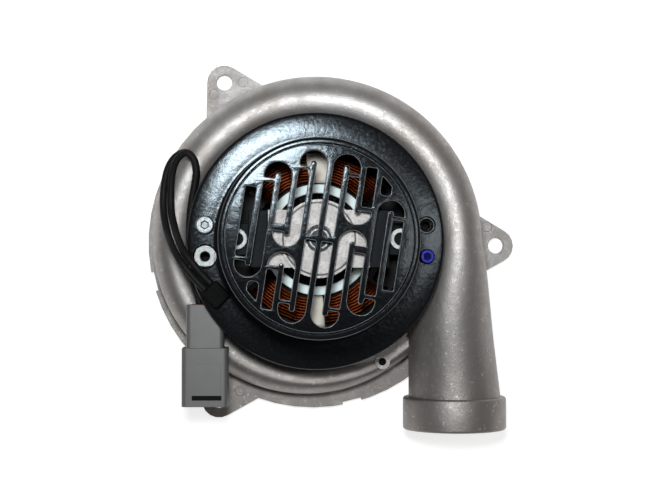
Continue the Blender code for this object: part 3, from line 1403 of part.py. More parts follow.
def make_leads(parent, materials):
    for name, sign in (("lead_wire_inner", 1), ("lead_wire_outer", -1)):
        points = lead_points(sign)
        tube(name, points, LEAD_DIAMETER / 2, 2, parent, materials["wire_black"])
        length = sum((b - a).length for a, b in zip(points, points[1:]))
        print(f"{name}: length {length / MM:.1f} mm")

    bm = bmesh.new()
    half = BOOT_WIDTH / 2
    outline = [
        (0, -half + BOOT_CHAMFER),
        (BOOT_CHAMFER, -half),
        (BOOT_LENGTH - BOOT_CHAMFER, -half),
        (BOOT_LENGTH, -half + BOOT_CHAMFER),
        (BOOT_LENGTH, half - BOOT_CHAMFER),
        (BOOT_LENGTH - BOOT_CHAMFER, half),
        (BOOT_CHAMFER, half),
        (0, half - BOOT_CHAMFER),
    ]
    seat = FLANGE_TOP + FLANGE_CROWN + SEAT_GAP
    prism(bm, turned_about(outline, BOOT_HEADING + math.pi), seat, seat + BOOT_HEIGHT)
    mouth = Vector(LEAD_ROUTE[0]) * MM
    back = Vector((*polar(SEAT_GAP, BOOT_HEADING + math.pi), 0))
    bmesh.ops.translate(bm, verts=bm.verts, vec=(mouth.x + back.x, mouth.y + back.y, 0))
    add_mesh("lead_boot", bm, parent, materials["rubber"])


def rounded_section(width, height, radius):
    """A rectangle of width by height with round corners, centred on nothing."""
    x, z = width / 2 - radius, height / 2 - radius
    corners = ((x, z, 0.0), (-x, z, 0.5), (-x, -z, 1.0), (x, -z, 1.5))
    points = []
    for cx, cz, quarter in corners:
        points += arc((cx, cz), radius, quarter * math.pi, (quarter + 0.5) * math.pi, 3)
    return points


def connector_length(bm, outline, start, end):
    """A straight length of the connector between two distances from its rear face."""
    rings = []
    for along in (start, end):
        y = CONNECTOR_REAR_Y - along
        rings.append([Vector((CONNECTOR_X + x, y, CONNECTOR_AXIS_Z + z)) for x, z in outline])
    loft(bm, rings)


def pin_bores(bm, radius, start, end):
    for side in (-1, 1):
        centre = side * PIN_SPACING / 2
        outline = [(centre + x, z) for x, z in arc((0, 0), radius, 0, math.tau * 11 / 12, 11)]
        connector_length(bm, outline, start, end)


def make_connector(parent, materials):
    rear_w, rear_h, rear_l = REAR_SECTION
    front_w, front_h, front_l = FRONT_SECTION
    total = rear_l + front_l
    floor = total - MOUTH_DEPTH
    grey = materials["grey_plastic"]
    bm = bmesh.new()
    connector_length(bm, rounded_section(front_w, front_h, CONNECTOR_ROUND), rear_l, total)
    body = add_mesh("connector_body", bm, parent, grey)
    bm = bmesh.new()
    connector_length(bm, rounded_section(rear_w, rear_h, CONNECTOR_ROUND), 0, rear_l + OVERCUT)
    boolean(body, add_mesh("connector_rear_shape", bm, parent), "UNION")
    bm = bmesh.new()
    mouth_w, mouth_h = front_w - 2 * MOUTH_WALL, front_h - 2 * MOUTH_WALL
    connector_length(bm, rounded_section(mouth_w, mouth_h, CONNECTOR_ROUND / 2), floor, total + OVERCUT)
    seal_w, seal_h = rear_w - 2 * SEAL_WALL, rear_h - 2 * SEAL_WALL
    connector_length(bm, rounded_section(seal_w, seal_h, CONNECTOR_ROUND / 2), -OVERCUT, SEAL_DEPTH)
    boolean(body, add_mesh("connector_hollows", bm, parent), "DIFFERENCE")
    bm = bmesh.new()
    pin_bores(bm, PIN_RADIUS + SEAT_GAP, floor - PIN_SINK - SEAT_GAP, floor + OVERCUT)
    boolean(body, add_mesh("pin_sockets", bm, parent), "DIFFERENCE")

    bm = bmesh.new()
    around = 2 * SEAT_GAP
    plug = rounded_section(seal_w - around, seal_h - around, CONNECTOR_ROUND / 2)
    connector_length(bm, plug, 0, SEAL_DEPTH - SEAT_GAP)
    add_mesh("connector_seal", bm, parent, materials["orange_rubber"])

    for name, side in (("connector_pin_left", -1), ("connector_pin_right", 1)):
        bm = bmesh.new()
        centre = side * PIN_SPACING / 2
        outline = [(centre + x, z) for x, z in arc((0, 0), PIN_RADIUS, 0, math.tau * 9 / 10, 9)]
        start = floor - PIN_SINK
        connector_length(bm, outline, start, min(start + PIN_LENGTH, total - MOUTH_WALL))
        add_mesh(name, bm, parent, materials["steel"])

    bm = bmesh.new()
    w, h = mouth_w - WEDGE_GAP, mouth_h - 2 * WEDGE_GAP
    wedge_start = floor + SEAT_GAP
    connector_length(bm, rounded_section(w, h, CONNECTOR_ROUND / 2), wedge_start, wedge_start + WEDGE_LENGTH)
    wedge = add_mesh("connector_wedge", bm, parent, materials["blue_grey_plastic"])
    bm = bmesh.new()
    pin_bores(bm, PIN_RADIUS + SEAT_GAP, floor - OVERCUT, wedge_start + WEDGE_LENGTH + OVERCUT)
    boolean(wedge, add_mesh("wedge_bores", bm, parent), "DIFFERENCE")


def main():
    clear_scene()
    materials = make_materials()
    blower = add_empty("blower", location=(-FOOTPRINT_X, -FOOTPRINT_Y, 0))
    rotor = add_empty("rotor_axis", blower)
    front_cage = add_empty("front_cage_axis", blower)
    rear_cage = add_empty("rear_cage_axis", blower)
    brush_x = COMMUTATOR_RADIUS + SEAT_GAP + BRUSH_LENGTH / 2
    brushes = {
        "left": add_empty("brush_slide_left", blower, (-brush_x, 0, BRUSH_AXIS_Z)),
        "right": add_empty("brush_slide_right", blower, (brush_x, 0, BRUSH_AXIS_Z)),
    }

    make_back_plate(blower, materials["cast_aluminium"])
    make_volute(blower, materials["cast_aluminium"])
    make_housing_screws(blower, materials["steel"])
    make_motor_cover(blower, materials["black_paint"])
    make_vent_grille(blower, materials["black_gloss"])
    places = post_places()
    make_cover_screw("cover_screw_bright", places["bright"], BRIGHT_HEAD_RADIUS, blower, materials["steel"])
    make_cover_screw("cover_screw_blue", places["blue"], BLUE_HEAD_RADIUS, blower, materials["blue_zinc"])

    make_front_bracket(blower, materials["cast_aluminium"])
    make_bearing("front", FRONT_BEARING_BASE, blower, rotor, front_cage, materials["steel"])
    make_bearing("rear", REAR_BEARING_BASE, blower, rotor, rear_cage, materials["steel"])
    make_stator(blower, materials["lamination"])
    make_field_coils(blower, materials["copper"])
    make_coil_straps(blower, materials["cream_tape"])
    make_coil_former(blower, materials["pale_insulation"])
    make_stator_bolts(blower, materials["steel"])
    make_brush_gear(blower, brushes, materials)
    make_rear_bridge(blower, materials["bright_aluminium"])

    make_shaft(rotor, materials["steel"])
    make_impeller(rotor, materials["bright_aluminium"], materials["steel"])
    make_armature(rotor, materials)
    make_cooling_fan(rotor, materials["phenolic"])

    make_leads(blower, materials)
    make_connector(blower, materials)


main()
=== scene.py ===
"""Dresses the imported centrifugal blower: casting, enamelled cover, windings, leads and connector.

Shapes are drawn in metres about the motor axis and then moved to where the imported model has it.
"""

import math

import bmesh
import bpy
from mathutils import Matrix, Vector


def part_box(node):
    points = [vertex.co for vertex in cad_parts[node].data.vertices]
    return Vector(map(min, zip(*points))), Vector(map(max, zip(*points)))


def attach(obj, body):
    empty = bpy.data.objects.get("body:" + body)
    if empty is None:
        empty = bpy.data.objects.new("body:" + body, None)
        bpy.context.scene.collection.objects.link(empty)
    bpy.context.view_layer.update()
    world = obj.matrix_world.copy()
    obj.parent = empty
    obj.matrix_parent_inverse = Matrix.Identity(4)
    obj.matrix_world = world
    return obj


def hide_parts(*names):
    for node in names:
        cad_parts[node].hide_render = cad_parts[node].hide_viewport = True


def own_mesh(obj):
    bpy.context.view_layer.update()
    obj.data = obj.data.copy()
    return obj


bl_info = {
    "name": "Centrifugal blower looks",
    "version": (1, 0, 0),
    "blender": (4, 5, 0),
    "location": "View3D > Sidebar > Blower",
    "description": "Casting, cover, windings, leads and connector of a small centrifugal blower",
    "category": "Object",
}

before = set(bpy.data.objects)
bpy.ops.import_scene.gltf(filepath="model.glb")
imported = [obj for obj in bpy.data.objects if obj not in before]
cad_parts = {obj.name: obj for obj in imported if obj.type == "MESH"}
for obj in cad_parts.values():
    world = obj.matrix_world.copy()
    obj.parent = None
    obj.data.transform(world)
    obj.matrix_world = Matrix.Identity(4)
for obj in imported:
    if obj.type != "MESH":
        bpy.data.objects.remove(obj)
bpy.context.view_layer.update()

MM = 0.001
SHAFT_LOW, SHAFT_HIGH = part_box("shaft")
AXIS = Vector(((SHAFT_LOW.x + SHAFT_HIGH.x) / 2, (SHAFT_LOW.y + SHAFT_HIGH.y) / 2, 0))
HOUSING = "housing"


def top_of(node):
    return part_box(node)[1].z


def base_of(node):
    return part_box(node)[0].z


def length(name, description, millimetres):
    return bpy.props.FloatProperty(
        name=name, description=description, default=millimetres * MM, unit="LENGTH", precision=4
    )


def colour(name, description, red, green, blue):
    return bpy.props.FloatVectorProperty(
        name=name, description=description, default=(red, green, blue), subtype="COLOR", min=0, max=1
    )


class CastingSettings(bpy.types.PropertyGroup):
    wall: length("Wall", "Thickness of the scroll's wall", 3.0)
    start_radius: length("Start radius", "Outer radius of the scroll at its tongue", 65.6)
    growth: length("Growth", "How much the scroll's radius grows in its first part", 6.4)
    growth_share: bpy.props.FloatProperty(
        name="Growth share", description="Share of the scroll over which its radius grows", default=0.62
    )
    inner_radius: length("Inner radius", "Inner wall of the scroll", 50.5)
    crown_radius: length("Crown radius", "Radius at which the scroll is tallest", 61.75)
    crown_rise: length("Crown rise", "How much the crown climbs from tongue to horn", 25.0)
    crown_round: length("Crown round", "Height of the rounding beside the crown", 11.0)
    horn_offset: length("Horn offset", "Distance from the motor axis to the outlet's axis", 61.5)
    horn_length: length("Horn length", "Length of the horn up to its collar", 67.7)
    horn_radius: length("Horn radius", "Outer radius of the horn at its collar", 20.15)
    collar_radius: length("Collar radius", "Outer radius of the collar", 22.6)
    collar_length: length("Collar length", "Length of the collar", 14.3)
    collar_edge: length("Collar edge", "Rounding of the collar's edges", 1.1)
    bore_radius: length("Bore radius", "Radius of the outlet's bore", 17.5)
    pad_radius: length("Pad radius", "Radius of the round pads on the ears", 2.3)
    tint: colour("Tint", "Colour of the bare casting", 0.53, 0.525, 0.52)
    stain: colour("Stain", "Colour of its darker patches", 0.35, 0.322, 0.30)


class CoverSettings(bpy.types.PropertyGroup):
    flange_radius: length("Flange radius", "Outer radius of the cover's flange", 54.3)
    flange_edge: length("Flange edge", "Rounding of the flange's rim", 1.2)
    cap_radius: length("Cap radius", "Outer radius of the cap", 39.5)
    cap_wall: length("Cap wall", "Wall of the cap", 2.3)
    cap_fillet: length("Cap fillet", "Rounding between cap and flange", 3.6)
    cap_edge: length("Cap edge", "Rounding of the cap's upper edge", 1.3)
    lip_width: length("Lip width", "Width of the lip round the grille", 2.4)
    enamel: colour("Enamel", "Colour of the black enamel", 0.006, 0.006, 0.007)


class GrilleSettings(bpy.types.PropertyGroup):
    pitch: length("Pitch", "Distance between the slots' columns", 6.5)
    width: length("Slot width", "Width of each slot", 4.2)
    rim: length("Rim radius", "Radius that the outermost slots reach", 34.5)
    edge: length("Edge", "Rounding of the bars", 0.4)
    lean: bpy.props.FloatProperty(
        name="Lean",
        description="Turn of the slots' columns from upright",
        default=math.radians(8.7),
        subtype="ANGLE",
    )


class LeadSettings(bpy.types.PropertyGroup):
    diameter: length("Diameter", "Outer diameter of each wire", 3.1)
    jacket: colour("Jacket", "Colour of the wires' jacket", 0.008, 0.008, 0.008)


class WindingSettings(bpy.types.PropertyGroup):
    wires: bpy.props.IntProperty(name="Wires", description="Wires side by side in a coil", default=9)
    wire: length("Wire", "Diameter of the coil's wire", 1.02)
    pitch: length("Pitch", "Step from wire to wire", 1.14)
    enamel: colour("Enamel", "Colour of the enamelled copper", 0.085, 0.0155, 0.0024)
    head_wire: length("Head wire", "Diameter of the wire on the armature's ends", 0.86)
    head_bore: length("Head bore", "Inner radius of the wound ends", 9.5)
    head_wraps: bpy.props.IntProperty(name="Head wraps", description="Wraps of wire on each end", default=72)


class StageSettings(bpy.types.PropertyGroup):
    lens: bpy.props.FloatProperty(name="Lens", description="Focal length in millimetres", default=85.5)
    eye: bpy.props.FloatVectorProperty(
        name="Eye",
        description="Camera's place from the foot of the motor axis",
        default=(-0.01675, -0.012, 0.7),
        subtype="TRANSLATION",
    )
    aim: bpy.props.FloatVectorProperty(
        name="Aim",
        description="Point in the middle of the picture, from the foot of the motor axis",
        default=(0.00535, -0.0005, 0.0),
        subtype="TRANSLATION",
    )
    key: bpy.props.FloatProperty(name="Key", description="Power of the lamp by the camera", default=3.0)
    fill: bpy.props.FloatProperty(name="Fill", description="Power of the dim panel at the right", default=0.4)


class Wire:
    """A node's output. Sums, products and powers of wires add their own nodes."""

    def __init__(self, finish, socket):
        self.finish = finish
        self.socket = socket

    def join(self, operation, first, second):
        return self.finish.node("ShaderNodeMath", {"operation": operation}, {0: first, 1: second})

    def __add__(self, other):
        return self.join("ADD", self, other)

    def __radd__(self, other):
        return self.join("ADD", other, self)

    def __sub__(self, other):
        return self.join("SUBTRACT", self, other)

    def __rsub__(self, other):
        return self.join("SUBTRACT", other, self)

    def __mul__(self, other):
        return self.join("MULTIPLY", self, other)

    def __rmul__(self, other):
        return self.join("MULTIPLY", other, self)

    def __truediv__(self, other):
        return self.join("DIVIDE", self, other)


class Finish:
    """A material whose pattern is read from the piece's own place in metres."""

    def __init__(self, name, roughness=0.5, metallic=0.0, specular=0.5):
        self.material = bpy.data.materials.new(name)
        self.material.use_nodes = True
        self.tree = self.material.node_tree
        self.shader = self.tree.nodes["Principled BSDF"]
        self.shader.inputs["Roughness"].default_value = roughness
        self.shader.inputs["Metallic"].default_value = metallic
        self.shader.inputs["Specular IOR Level"].default_value = specular
        self.place = self.node("ShaderNodeTexCoord", output="Object")

    def node(self, kind, settings=None, values=None, output=0):
        made = self.tree.nodes.new(kind)
        for name, setting in (settings or {}).items():
            setattr(made, name, setting)
        for socket, value in (values or {}).items():
            self.feed(made.inputs[socket], value)
        return Wire(self, made.outputs[output])

    def feed(self, socket, value):
        if isinstance(value, Wire):
            self.tree.links.new(value.socket, socket)
        elif socket.type == "RGBA" and len(value) == 3:
            socket.default_value = (*value, 1.0)
        else:
            socket.default_value = value

    def put(self, name, value):
        self.feed(self.shader.inputs[name], value)

    def noise(self, size, detail=3.0, roughness=0.5):
        """Cloudy noise whose blots are about size across, from 0 to 1."""
        values = {"Vector": self.place, "Scale": 1 / size, "Detail": detail, "Roughness": roughness}
        return self.node("ShaderNodeTexNoise", {}, values, "Fac")

    def span(self, wire, low, high, start=0.0, end=1.0):
        """The wire's range from low to high spread over start to end, and held beyond it."""
        values = {"Value": wire, "From Min": low, "From Max": high, "To Min": start, "To Max": end}
        return self.node("ShaderNodeMapRange", {"clamp": True}, values)

    def mix(self, share, first, second):
        settings = {"data_type": "RGBA", "blend_type": "MIX"}
        return self.node("ShaderNodeMix", settings, {0: share, 6: first, 7: second}, 2)

    def from_axis(self):
        """Distance from the motor axis in metres."""
        values = {"Vector": self.place, "Location": (-AXIS.x, -AXIS.y, 0.0), "Scale": (1.0, 1.0, 0.0)}
        flat = self.node("ShaderNodeMapping", {}, values)
        return self.node("ShaderNodeVectorMath", {"operation": "LENGTH"}, {0: flat}, 1)

    def bump(self, height, depth, strength=1.0):
        values = {"Height": height, "Distance": depth, "Strength": strength}
        self.put("Normal", self.node("ShaderNodeBump", {}, values, "Normal"))


def toned(tint, share):
    """The tint made darker or paler."""
    return tuple(share * part for part in tint)


def cast_aluminium(name, settings, dullness=0.0):
    """Bare die casting: cloudy and scuffed, with a fine skin, and painted shade that darkens it toward the
    outlet's side.
    """
    finish = Finish(name, 0.5, 0.85)
    clouds = finish.span(finish.noise(26 * MM, 3.0, 0.55), 0.36, 0.64)
    patches = finish.span(finish.noise(6 * MM, 4.0, 0.6), 0.40, 0.70)
    specks = finish.noise(0.9 * MM, 2.0, 0.6)
    ground = finish.mix(clouds * 0.7 + patches * 0.3, tuple(settings.stain), tuple(settings.tint))
    along = finish.node("ShaderNodeSeparateXYZ", {}, {0: finish.place}, 1)
    # Painted shade: the colour darkens toward -y, on the outlet's side, standing in for shadow there.
    painted_shade = finish.span(along, 60 * MM, -60 * MM, 0.0, 0.9) * (0.6 + 0.4 * clouds)
    ground = finish.mix(painted_shade, ground, toned(settings.stain, 0.55))
    scuffs = finish.span(finish.noise(2.6 * MM, 5.0, 0.7), 0.56, 0.68) * finish.span(specks, 0.45, 0.60)
    finish.put("Base Color", finish.mix(scuffs * 0.5, ground, (0.78, 0.78, 0.77)))
    finish.put("Roughness", finish.span(specks + patches * 0.3, 0.3, 0.95, 0.57, 0.42) + dullness)
    finish.bump(finish.noise(0.7 * MM, 4.0, 0.65) + patches * 0.6, 0.12 * MM, 0.6)
    return finish.material


def black_enamel(name, tint, roughness, spread, peel, specular):
    """Sprayed enamel: a slightly wavy gloss, dulled in blots."""
    finish = Finish(name, roughness, 0.0, specular)
    # Painted light colour: the reflections are tinted blue to stand in for a bluish lamp.
    finish.shader.inputs["Specular Tint"].default_value = (0.78, 0.92, 1.0, 1.0)
    wave = finish.noise(4.0 * MM, 3.0, 0.6)
    dust = finish.noise(0.55 * MM, 2.0, 0.6)
    dulled = finish.span(finish.noise(1.3 * MM, 4.0, 0.7), 0.46, 0.62)
    finish.put("Base Color", finish.mix(dulled, tint, toned(tint, 1.3)))
    finish.put("Roughness", finish.span(dulled + dust * 0.5, 0.1, 1.3, roughness, roughness + spread))
    finish.bump(wave + dust * 0.12, peel)
    return finish.material


def plated_steel(name, tint, roughness):
    """Plated metal with faint streaks."""
    finish = Finish(name, roughness, 1.0)
    streaks = finish.noise(1.1 * MM, 3.0, 0.6)
    finish.put("Base Color", finish.mix(streaks, toned(tint, 0.8), tint))
    finish.put("Roughness", finish.span(streaks, 0.3, 0.7, roughness - 0.06, roughness + 0.1))
    finish.bump(finish.noise(0.3 * MM, 2.0), 0.01 * MM)
    return finish.material


def pale_metal(name, tint, metallic, line_radius=0.0):
    """Bare die-cast metal with fine dark pores, and a dark line round the motor axis if wanted."""
    finish = Finish(name, 0.5, metallic)
    pores = finish.span(finish.noise(0.6 * MM, 3.0, 0.65), 0.52, 0.66)
    clouds = finish.noise(5 * MM, 3.0)
    ground = finish.mix(clouds, toned(tint, 0.86), tint)
    ground = finish.mix(pores * 0.7, ground, toned(tint, 0.5))
    if line_radius:
        off = (finish.from_axis() - line_radius) / (0.45 * MM)
        ground = finish.mix(finish.span(off * off, 0.3, 1.0, 0.9, 0.0), ground, (0.01, 0.01, 0.01))
    finish.put("Base Color", ground)
    finish.put("Roughness", finish.span(clouds, 0.3, 0.7, 0.42, 0.6))
    finish.bump(pores * -1.0, 0.03 * MM)
    return finish.material


def shaft_steel():
    """Near-black steel, with a painted highlight in its middle and a painted highlight ring at the shoulder
    on its end.
    """
    finish = Finish("shaft steel", 0.3, 0.9)
    out = finish.from_axis()
    shoulder = (out - 3.8 * MM) / (0.4 * MM)
    middle = finish.span(out, 1.2 * MM, 1.7 * MM, 1.0, 0.0)
    # Painted highlights: a bright spot in the middle and a bright ring at the shoulder.
    bright = middle + finish.span(shoulder * shoulder, 0.3, 1.0, 1.0, 0.0)
    streaks = finish.noise(0.8 * MM, 3.0, 0.6)
    dark = finish.mix(streaks, (0.004, 0.004, 0.005), (0.012, 0.012, 0.012))
    finish.put("Base Color", finish.mix(bright * 0.9, dark, (0.12, 0.125, 0.13)))
    finish.put("Roughness", finish.span(streaks, 0.3, 0.7, 0.3, 0.45))
    return finish.material


def moulded(name, tint, roughness, grain, depth, specular=0.5):
    """Moulded plastic or rubber with a fine even grain."""
    finish = Finish(name, roughness, 0.0, specular)
    clouds = finish.noise(9 * MM, 3.0)
    fine = finish.noise(grain, 2.0)
    finish.put("Base Color", finish.mix(clouds, toned(tint, 0.82), toned(tint, 1.12)))
    finish.put("Roughness", finish.span(fine, 0.3, 0.7, roughness - 0.07, roughness + 0.08))
    finish.bump(fine, depth)
    return finish.material


def enamelled_copper(tint):
    """Copper wire under clear enamel, light and dark along its length."""
    finish = Finish("enamelled copper", 0.3, 0.8, 0.15)
    shade = finish.noise(1.6 * MM, 3.0, 0.6)
    finish.put("Base Color", finish.mix(shade, toned(tint, 0.35), toned(tint, 1.65)))
    finish.put("Roughness", finish.span(shade, 0.3, 0.7, 0.24, 0.42))
    return finish.material


def laminations(name):
    """Stacked sheets: fine lines across the axis, with a little rust."""
    finish = Finish(name, 0.5, 0.0, 0.03)
    height = finish.node("ShaderNodeSeparateXYZ", {}, {0: finish.place}, 2)
    sheet = 0.25 * MM
    sheets = finish.node("ShaderNodeMath", {"operation": "PINGPONG"}, {0: height, 1: sheet}) / sheet
    rust = finish.span(finish.noise(4 * MM, 4.0, 0.6), 0.55, 0.75)
    finish.put("Base Color", finish.mix(rust * 0.5, (0.012, 0.012, 0.012), (0.02, 0.012, 0.008)))
    finish.put("Roughness", finish.span(rust, 0.0, 1.0, 0.42, 0.7))
    finish.bump(sheets, 0.05 * MM)
    return finish.material


def make_finishes(scene):
    casting, cover, winding = scene.blower_casting, scene.blower_cover, scene.blower_winding
    enamel = tuple(cover.enamel)
    return {
        "casting": cast_aluminium("cast aluminium", casting),
        "plate": cast_aluminium("dull cast plate", casting, 0.12),
        "enamel": black_enamel("black enamel", enamel, 0.11, 0.07, 0.05 * MM, 0.15),
        "gloss": black_enamel("gloss enamel", toned(enamel, 0.7), 0.09, 0.05, 0.05 * MM, 0.12),
        "steel": plated_steel("bright steel", (0.24, 0.26, 0.27), 0.46),
        "blue": plated_steel("blue zinc", (0.009, 0.010, 0.076), 0.22),
        "blue shade": plated_steel("blue zinc in shade", (0.0022, 0.0024, 0.022), 0.3),
        # Pale metal for the grille's rounded edges: painted highlight lines.
        "rim": plated_steel("painted edge highlight", (0.80, 0.88, 0.94), 0.36),
        "shaft": shaft_steel(),
        "bridge": pale_metal("pale die casting", (0.52, 0.50, 0.482), 0.15, 14.15 * MM),
        "boss": pale_metal("bare boss", (0.66, 0.72, 0.71), 0.1),
        "wheel": pale_metal("wheel casting", (0.62, 0.61, 0.59), 0.6),
        "former": moulded("pale insulation", (0.80, 0.93, 0.92), 0.5, 0.6 * MM, 0.02 * MM),
        "strap": moulded("cream tape", (0.66, 0.62, 0.53), 0.5, 0.4 * MM, 0.04 * MM),
        "phenolic": moulded("dark phenolic", (0.009, 0.012, 0.015), 0.5, 0.5 * MM, 0.02 * MM, 0.05),
        "varnish": moulded("dark varnish", (0.012, 0.008, 0.006), 0.45, 0.6 * MM, 0.03 * MM, 0.06),
        # Near-black finish laid in the tapped holes, the bolts' sockets and the connector's slot as painted
        # shade.
        "thread": moulded("near-black painted shade", (0.005, 0.005, 0.005), 0.5, 0.4 * MM, 0.02 * MM, 0.05),
        "carbon": moulded("carbon", (0.03, 0.03, 0.03), 0.6, 0.3 * MM, 0.02 * MM),
        "rubber": moulded("black rubber", (0.004, 0.004, 0.004), 0.6, 0.6 * MM, 0.03 * MM, 0.05),
        "jacket": moulded("wire jacket", tuple(scene.blower_lead.jacket), 0.55, 0.8 * MM, 0.02 * MM, 0.14),
        "connector": moulded("grey moulding", (0.110, 0.108, 0.106), 0.42, 0.35 * MM, 0.012 * MM),
        "wedge": moulded("blue grey moulding", (0.24, 0.32, 0.40), 0.4, 0.35 * MM, 0.012 * MM),
        "seal": moulded("orange seal", (0.50, 0.16, 0.04), 0.5, 0.5 * MM, 0.02 * MM),
        "copper": enamelled_copper(tuple(winding.enamel)),
        "lamination": laminations("stacked sheets"),
    }


FINISHES = {}


def shape(draw, *details, **options):
    """A new mesh with one shape drawn in it."""
    bm = bmesh.new()
    draw(bm, *details, **options)
    return bm


def new_piece(name, bm, material, sharp=35):
    """Make the shape a piece, moved from the motor axis to its place in the model."""
    bmesh.ops.recalc_face_normals(bm, faces=bm.faces)
    bmesh.ops.translate(bm, verts=bm.verts, vec=AXIS)
    mesh = bpy.data.meshes.new(name)
    bm.to_mesh(mesh)
    bm.free()
    piece = bpy.data.objects.new(name, mesh)
    bpy.context.scene.collection.objects.link(piece)
    shade(piece, material, sharp)
    return piece


def shade(piece, material, sharp=35):
    piece.data.materials.clear()
    piece.data.materials.append(material)
    piece.data.shade_smooth()
    piece.data.set_sharp_from_angle(angle=math.radians(sharp))


def bake(piece):
    """Turn the piece's modifiers into a plain mesh."""
    depsgraph = bpy.context.evaluated_depsgraph_get()
    depsgraph.update()
    mesh = bpy.data.meshes.new_from_object(piece.evaluated_get(depsgraph))
    piece.modifiers.clear()
    piece.data = mesh
    return piece


def join(piece, bm, operation):
    """Add the shape to the piece, or cut it out of it."""
    tool = new_piece(f"{piece.name}_tool", bm, piece.data.materials[0])
    modifier = piece.modifiers.new("join", "BOOLEAN")
    modifier.operation = operation
    modifier.solver = "EXACT"
    modifier.object = tool
    bake(piece)
    bpy.data.objects.remove(tool)


def keep_flat(piece):
    """Let the large faces set the shading, so that they look flat beside rounded edges."""
    modifier = piece.modifiers.new("flat faces", "WEIGHTED_NORMAL")
    modifier.keep_sharp = True


def round_edges(piece, width, segments=2, sharper_than=40):
    """Round the piece's edges that turn by more than so many degrees."""
    shade(piece, piece.data.materials[0], 50)
    modifier = piece.modifiers.new("edges", "BEVEL")
    modifier.width = width
    modifier.segments = segments
    modifier.limit_method = "ANGLE"
    modifier.angle_limit = math.radians(sharper_than)
    modifier.use_clamp_overlap = True
    keep_flat(piece)
    bake(piece)


def settle(piece, *nodes, body=HOUSING):
    """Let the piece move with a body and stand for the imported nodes."""
    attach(piece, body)
    if nodes:
        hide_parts(*nodes)


# Distances under which the corners of a copied solid, or of a turned shape, are one
WELD = 0.002 * MM
TURNED_WELD = 0.001 * MM
# Strip left bright round a socket
SOCKET_RIM = 0.1 * MM


def solid_copy(node, material):
    """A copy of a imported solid, as flat faces."""
    bm = bmesh.new()
    bm.from_mesh(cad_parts[node].data)
    bmesh.ops.remove_doubles(bm, verts=bm.verts, dist=WELD)
    bmesh.ops.dissolve_limit(bm, angle_limit=math.radians(1), verts=bm.verts, edges=bm.edges)
    bmesh.ops.translate(bm, verts=bm.verts, vec=-AXIS)
    return new_piece(f"{node}_finished", bm, material)


def softened(node, material, width, segments=2):
    """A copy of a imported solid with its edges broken, in its place."""
    piece = solid_copy(node, material)
    round_edges(piece, width, segments)
    settle(piece, node)
    return piece


def refinish(piece, material, chosen):
    """Give the faces that are chosen a finish of their own."""
    piece.data.materials.append(material)
    last = len(piece.data.materials) - 1
    for face in piece.data.polygons:
        if chosen(face):
            face.material_index = last


def darken_socket(piece, node, radius, material):
    """Give the walls and floor of the hole in a screw's head a darker finish of their own, as painted shade.
    """
    low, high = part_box(node)
    middle = (low + high) / 2

    def in_socket(face):
        near = (face.center - middle).to_2d().length < radius
        return near and middle.z < face.center.z < high.z - SOCKET_RIM

    refinish(piece, material, in_socket)


def dress(node, material):
    """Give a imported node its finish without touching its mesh."""
    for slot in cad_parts[node].material_slots:
        slot.material = material


def add_spline(curve, points, closed):
    """A spline of straight runs through the points."""
    spline = curve.splines.new("POLY")
    spline.points.add(len(points) - 1)
    spline.use_cyclic_u = closed
    for point, place in zip(spline.points, points):
        point.co = (*place, 1)


def turn(bm, profile, centre=(0, 0), segments=96, closed=True):
    """Spin a profile of (radius, height) about the upright line through centre."""
    verts = [bm.verts.new((radius, 0, height)) for radius, height in profile]
    pairs = list(zip(verts, verts[1:]))
    if closed:
        pairs.append((verts[-1], verts[0]))
    edges = [bm.edges.new(pair) for pair in pairs]
    before = set(bm.verts) - set(verts)
    bmesh.ops.spin(
        bm, geom=verts + edges, cent=(0, 0, 0), axis=(0, 0, 1), angle=math.tau, steps=segments, use_merge=True
    )
    fresh = [v for v in bm.verts if v not in before]
    bmesh.ops.remove_doubles(bm, verts=fresh, dist=TURNED_WELD)
    fresh = [v for v in bm.verts if v not in before]
    bmesh.ops.translate(bm, verts=fresh, vec=(*centre, 0))


def disc(bm, radius, base, top, centre=(0, 0), segments=32):
    """An upright round bar."""
    place = Matrix.Translation((*centre, (base + top) / 2))
    bmesh.ops.create_cone(
        bm, cap_ends=True, segments=segments, radius1=radius, radius2=radius, depth=top - base, matrix=place
    )


def prism(bm, outline, base, top):
    """A flat outline of (x, y) raised from base to top."""
    face = bm.faces.new([bm.verts.new((x, y, base)) for x, y in outline])
    raised = bmesh.ops.extrude_face_region(bm, geom=[face])["geom"]
    lifted = [v for v in raised if isinstance(v, bmesh.types.BMVert)]
    bmesh.ops.translate(bm, verts=lifted, vec=(0, 0, top - base))


def loft(bm, rings):
    """A closed skin over rings of as many points each."""
    rows = [[bm.verts.new(point) for point in ring] for ring in rings]
    count = len(rows[0])
    skin = []
    for row, following in zip(rows, rows[1:]):
        for i in range(count):
            j = (i + 1) % count
            skin.append(bm.faces.new((row[i], row[j], following[j], following[i])))
    bm.faces.new(rows[0])
    bm.faces.new(rows[-1])
    bmesh.ops.triangulate(bm, faces=skin)


def rectangle(left, right, front, rear):
    """Corners in metres of a rectangle given in millimetres."""
    return [(x * MM, y * MM) for x, y in ((left, front), (right, front), (right, rear), (left, rear))]


def polar(radius, angle):
    return (radius * math.cos(angle), radius * math.sin(angle))


def arc(centre, radius, start, end, steps):
    """Points on a round arc from the angle start to the angle end."""
    angles = [start + (end - start) * i / steps for i in range(steps + 1)]
    return [(centre[0] + radius * math.cos(a), centre[1] + radius * math.sin(a)) for a in angles]


def turned_about(points, angle):
    cosine, sine = math.cos(angle), math.sin(angle)
    return [(x * cosine - y * sine, x * sine + y * cosine) for x, y in points]


def mix(a, b, share):
    return a + (b - a) * share


def ease(share):
    """A share from 0 to 1 that sets off and stops gently."""
    share = min(1.0, max(0.0, share))
    return share * share * (3 - 2 * share)


